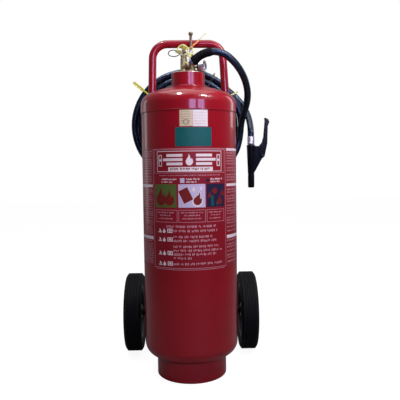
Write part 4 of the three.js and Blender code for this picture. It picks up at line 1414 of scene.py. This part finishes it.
def label_marks(rng):
    white, fine = maker_plate(), []
    fine += frame_of(-PANEL + 2, PANEL - 2, 651, 720, 0.9)
    fine += frame_of(-PANEL - 3, PANEL + 3, LABEL_LOW + 6, LABEL_HIGH - 4, 1.3)
    fine += words(rng, -96, 100, 642.5, 3.2)
    for u0, u1 in ((-88, -38), (-10, 32), (64, 108)):
        white += words(rng, u0, u1, 630, 5)
        white += words(rng, u0, u1, 622.5, 4.2, 0.76)
    for u0, u1 in ((-112, -38), (-34, 47), (51, 113)):
        fine += frame_of(u0, u1, 505, 542, 1.1)
        middle = (u0 + u1) / 2
        for z, share in ((532, 0.9), (523.5, 0.66), (514, 0.8)):
            half = (u1 - u0) / 2 * share - 3
            fine += words(rng, middle - half, middle + half, z, 4.2)
    fine += words(rng, -74, 84, 489, 7)
    for z, start, end in (
        (476, -51, 89), (458.5, -51, 70), (446.5, -51, 84), (429.5, -51, 92), (417.5, -51, 104),
        (406, -51, 84), (394.5, -51, 8), (377.5, -51, 106),
    ):
        fine += words(rng, start, end, z, 7)
    for centre in (480, 454, 413, 381.5):
        white += frame_of(-71, -54, centre - 6, centre + 6, 2.4)
        white.append(rect(-66, -59, centre - 2, centre + 2))
        white.append(scaled(FLAME, -82, centre, 7.6))
        white.append(rect(-104, -90, centre - 6, centre - 3.4))
        white.append(scaled(DROP, -97, centre + 1.5, 5.4, 0.5))
    fine += [rect(-PANEL + 4, PANEL - 4, LABEL_LOW + 1.6, LABEL_LOW + 2.8)]
    return white, fine


def column_marks(rng, side):
    """Small print beside the panel, under plain headings."""
    near, far = PANEL + 8, 232
    pitch, height = (5.4, 3.0) if side < 0 else (8.2, 4.4)
    fine, white = [], []
    z = 716
    while z > 372:
        if not (605 < z < 621 or 446 < z < 462):
            start, end = near + rng.uniform(0, 3), far - rng.choice((0, 6, 40))
            fine += words(rng, *sorted((side * start, side * end)), z, height)
        z -= pitch * rng.choice((1, 1, 1, 1.5))
    for z0, z1 in ((609, 617), (450, 460)):
        white.append(rect(*sorted((side * near, side * (far - 8))), z0, z1))
    if side > 0:
        white.append(rect(near, far - 8, 716, 724))
    return white, fine


def add_label():
    rng = random.Random(7)
    reach = 242
    film = rounded([
        (-reach, LABEL_LOW, 8), (reach, LABEL_LOW, 8), (reach, LABEL_HIGH, 8),
        (-reach, LABEL_HIGH, 8),
    ])
    wrapped("label_film", [film], FILM, 0.02, 0.12)
    white, fine = label_marks(rng)
    for side in (-1, 1):
        more_white, more_fine = column_marks(rng, side)
        white += more_white
        fine += more_fine
    on_film = 0.13
    wrapped("label_white", white, INK_WHITE, on_film, 0.07)
    wrapped("label_small_print", fine, INK_FINE, on_film, 0.07)

    low, high = 549, 618
    for tint, material, u0, u1 in (
        ("green", INK_GREEN, -114, -40), ("lilac", INK_LILAC, -34, 47), ("navy", INK_NAVY, 51, 115),
    ):
        wrapped(f"label_{tint}", [rect(u0, u1, low, high)], material, on_film, 0.06)
    on_square = on_film + 0.07
    canister = [(-11, -15), (11, -15), (11, 15), (-11, 15)]
    red = [
        scaled(FLAME, -92, 582, 28), scaled(FLAME, -62, 578, 24),
        scaled(canister, -12, 585, 1.35, 0.45), scaled(FLAME, 25, 575, 20, -0.3),
        round_dot(78, 597, 9), scaled(FLAME, 96, 570, 15), scaled(FLAME, 106, 592, 12),
        scaled(FLAME, 61, 586, 9),
    ]
    wrapped("label_red_shapes", red, INK_RED, on_square, 0.06)
    outline = [scaled(FLAME, 25, 575, 25, -0.3), scaled(DROP, 12, 603, 8), scaled(DROP, 34, 606, 7)]
    wrapped("label_pale_shapes", outline, INK_WHITE, on_film + 0.04, 0.06)
    wrapped("label_teal_shape", [rect(66, 74, 552, 584), rect(84, 88, 553, 566)], INK_TEAL,
            on_square, 0.06)
    strip = words(rng, -58, 66, 659, 7)
    wrapped("plate_strip_marks", strip, INK_RED, on_square, 0.06)
    wrapped("label_heading_mark", [rect(-28, -15, 622, 636)], INK_LILAC, on_film, 0.06)
    wrapped("label_heading_dot", [round_dot(55, 629, 5.5)], INK_NAVY, on_film, 0.06)


def add_stickers():
    """Inspection record and a plain band above the label."""
    rng = random.Random(11)
    lift = 0.05
    wrapped("sticker_left", [rect(-27, 12, 788, 835)], PAPER_BEIGE, lift, 0.2)
    wrapped("sticker_right", [rect(12.4, 57, 787, 835)], PAPER_WHITE, lift, 0.2)
    wrapped("sticker_teal", [rounded([
        (-41, 729, 3), (69, 729, 3), (69, 785, 3), (-41, 785, 3),
    ])], PAPER_TEAL, lift, 0.2)
    dark = []
    for row in range(6):
        z = 828 - 6.4 * row
        dark += words(rng, -24, 8, z, 1.8, 0.9)
    ring = round_dot(-8, 800, 8.5, 28)
    hole = round_dot(-8, 800, 7, 28)
    for k in range(0, 28, 2):
        dark.append([ring[k], ring[(k + 2) % 28], hole[(k + 2) % 28], hole[k]])
    wrapped("sticker_marks", dark, INK_DARK, lift + 0.21, 0.05)
    pale = []
    for row in range(5):
        pale += words(rng, 17, 53, 826 - 8 * row, 2.0)
    wrapped("sticker_lines", pale, INK_FINE, lift + 0.21, 0.05)
    teal = []
    for row in range(6):
        teal += words(rng, -34, 60, 776 - 8.2 * row, 2.4)
    wrapped("teal_lines", teal, INK_TEAL, lift + 0.21, 0.05)


# ---------------------------------------------------------------- springs and inner pieces
def spring(start, end, radius, wire, turns):
    """Coil spring between two points, its end turns closed up."""
    start, end = Vector(start), Vector(end)
    length = (end - start).length - 2 * wire
    place = axes_to(end - start, start)
    path = []
    for k in range(turns * 16 + 1):
        share = k / (turns * 16)
        angle = 2 * math.pi * turns * share
        rise = wire + length * (share - 0.028 * math.sin(2 * math.pi * share))
        path.append(Vector((radius * math.cos(angle), radius * math.sin(angle), rise)))
    return moved(sweep(path, circle(wire, 10)), place)


def add_springs():
    """Coil springs for the valve stem and the gun's plunger, each with its own copy of its mesh."""
    top, bottom = 1011.5, 976.4
    stem = build("stem_spring", spring((STEM_X, 0, bottom), (STEM_X, 0, top), 5.7, 0.8, 8), ZINC)
    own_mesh(stem)
    near, far = GUN.x + 8.4, GUN.x + 27
    z = GUN.z + PLUNGER_Z
    gun = build("gun_spring", spring((near, GUN.y, z), (far, GUN.y, z), 3.9, 0.5, 7), ZINC)
    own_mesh(gun)


def dress_cad():
    """Inner pieces that stay as their CAD solids get their own finish."""
    for node, material in {"dip_tube": WHITE, "gauge_bourdon_tube": BRASS}.items():
        data = NODES[node].data
        data.materials.clear()
        data.materials.append(material)


# ---------------------------------------------------------------- studio
ROOM_FRONT = 0.11  # brightness of the room in front of the object, as it is mirrored
ROOM_BACK = 0.38


def soft_box(name, place, aim, size, watts, tone=(1, 1, 1), diffuse=True, glossy=True, roll=0):
    light = bpy.data.lights.new(name, "AREA")
    light.shape = "RECTANGLE"
    light.size, light.size_y = size
    light.energy = watts
    light.color = tone
    lamp = linked(name, light)
    lamp.location = at(*place)
    facing = at(*aim) - lamp.location
    turn = facing.to_track_quat("-Z", "Y").to_matrix() @ Matrix.Rotation(math.radians(roll), 3, "Z")
    lamp.rotation_euler = turn.to_euler()
    lamp.visible_diffuse = diffuse
    lamp.visible_glossy = glossy


def seen_directly(nodes):
    return nodes.new("ShaderNodeLightPath").outputs["Is Camera Ray"]


def add_floor():
    """Pale floor that runs into the white background."""
    pale = Finish("studio_floor", (0.25, 0.25, 0.26), 0.6, Specular_IOR_Level=0.2)
    pale.colour(pale.span(pale.noise(900), 0.4, 0.6, 0, 0.5), (0.23, 0.23, 0.24))
    pale.shader.inputs["Emission Color"].default_value = (1, 1, 1, 1)
    lift = pale.span(seen_directly(pale.nodes), 0, 1, 0, 0.91)
    pale.links.new(lift, pale.shader.inputs["Emission Strength"])
    mesh = bpy.data.meshes.new("studio_floor")
    far = 9
    mesh.from_pydata([(-far, -far, 0), (far, -far, 0), (far, far, 0), (-far, far, 0)], [],
                     [(0, 1, 2, 3)])
    mesh.materials.append(pale.material)
    floor = linked("studio_floor", mesh)
    floor.location = (0, 0, -0.0005)


def add_world():
    """White background; the room the object stands in is dimmer, and darkest in front of it."""
    world = bpy.data.worlds.new("studio")
    world.use_nodes = True
    nodes, links = world.node_tree.nodes, world.node_tree.links
    backdrop = nodes["Background"]
    backdrop.inputs["Color"].default_value = (1, 1, 1, 1)
    backdrop.inputs["Strength"].default_value = 1.0
    room = nodes.new("ShaderNodeBackground")
    room.inputs["Color"].default_value = (0.93, 0.94, 1.0, 1)
    direction = nodes.new("ShaderNodeTexCoord").outputs["Generated"]
    split = nodes.new("ShaderNodeSeparateXYZ")
    links.new(direction, split.inputs[0])
    shade = nodes.new("ShaderNodeMapRange")
    shade.inputs["From Min"].default_value = -0.6
    shade.inputs["From Max"].default_value = 1.0
    shade.inputs["To Min"].default_value = ROOM_FRONT
    shade.inputs["To Max"].default_value = ROOM_BACK
    links.new(split.outputs["Y"], shade.inputs["Value"])
    links.new(shade.outputs["Result"], room.inputs["Strength"])
    choose = nodes.new("ShaderNodeMixShader")
    links.new(seen_directly(nodes), choose.inputs[0])
    links.new(room.outputs[0], choose.inputs[1])
    links.new(backdrop.outputs[0], choose.inputs[2])
    links.new(choose.outputs[0], nodes["World Output"].inputs["Surface"])
    bpy.context.scene.world = world


def add_studio():
    add_floor()
    add_world()
    for pane, x, y in (("left", 390, -2512), ("right", 1215, -2200)):
        soft_box(f"window_{pane}", (x, y, 1380), (20, -100, 850), (0.66, 0.64), 20,
                 (0.5, 0.48, 1), diffuse=False)
    soft_box("window_light", (860, -2330, 1380), (20, -100, 850), (1.4, 0.8), 24, glossy=False)
    soft_box("near_right", (480, -500, 1300), (60, -80, 860), (0.3, 0.3), 6, glossy=False)
    soft_box("near_left", (-480, -560, 1400), (-60, -80, 930), (0.3, 0.3), 1.2, glossy=False)
    soft_box("lamp", (-421, -587, 2368), (-26, -144, 883), (0.2, 0.17), 17, diffuse=False)
    soft_box("tube", (1066, -960, 2257), (50, -141, 876), (0.8, 0.1), 34, diffuse=False, roll=-30)
    soft_box("left_wall", (-1900, 1300, 950), (0, 0, 600), (0.5, 1.4), 3, (1, 0.97, 1))
    soft_box("right_wall", (1900, 1300, 1600), (0, 0, 900), (0.5, 1.3), 7, (1, 0.9, 0.97))
    soft_box("ceiling", (0, 100, 2700), (0, 0, 500), (2.2, 2.2), 34)
    scene = bpy.context.scene
    scene.view_settings.view_transform = "Standard"
    scene.view_settings.look = "None"


add_vessel()
add_handle()
add_axle()
add_wheels()
add_valve()
add_outlet()
add_safety_pin()
add_seal()
add_gauge()
add_hose_bracket()
add_gun()
add_label()
add_stickers()
add_springs()
dress_cad()
add_studio()
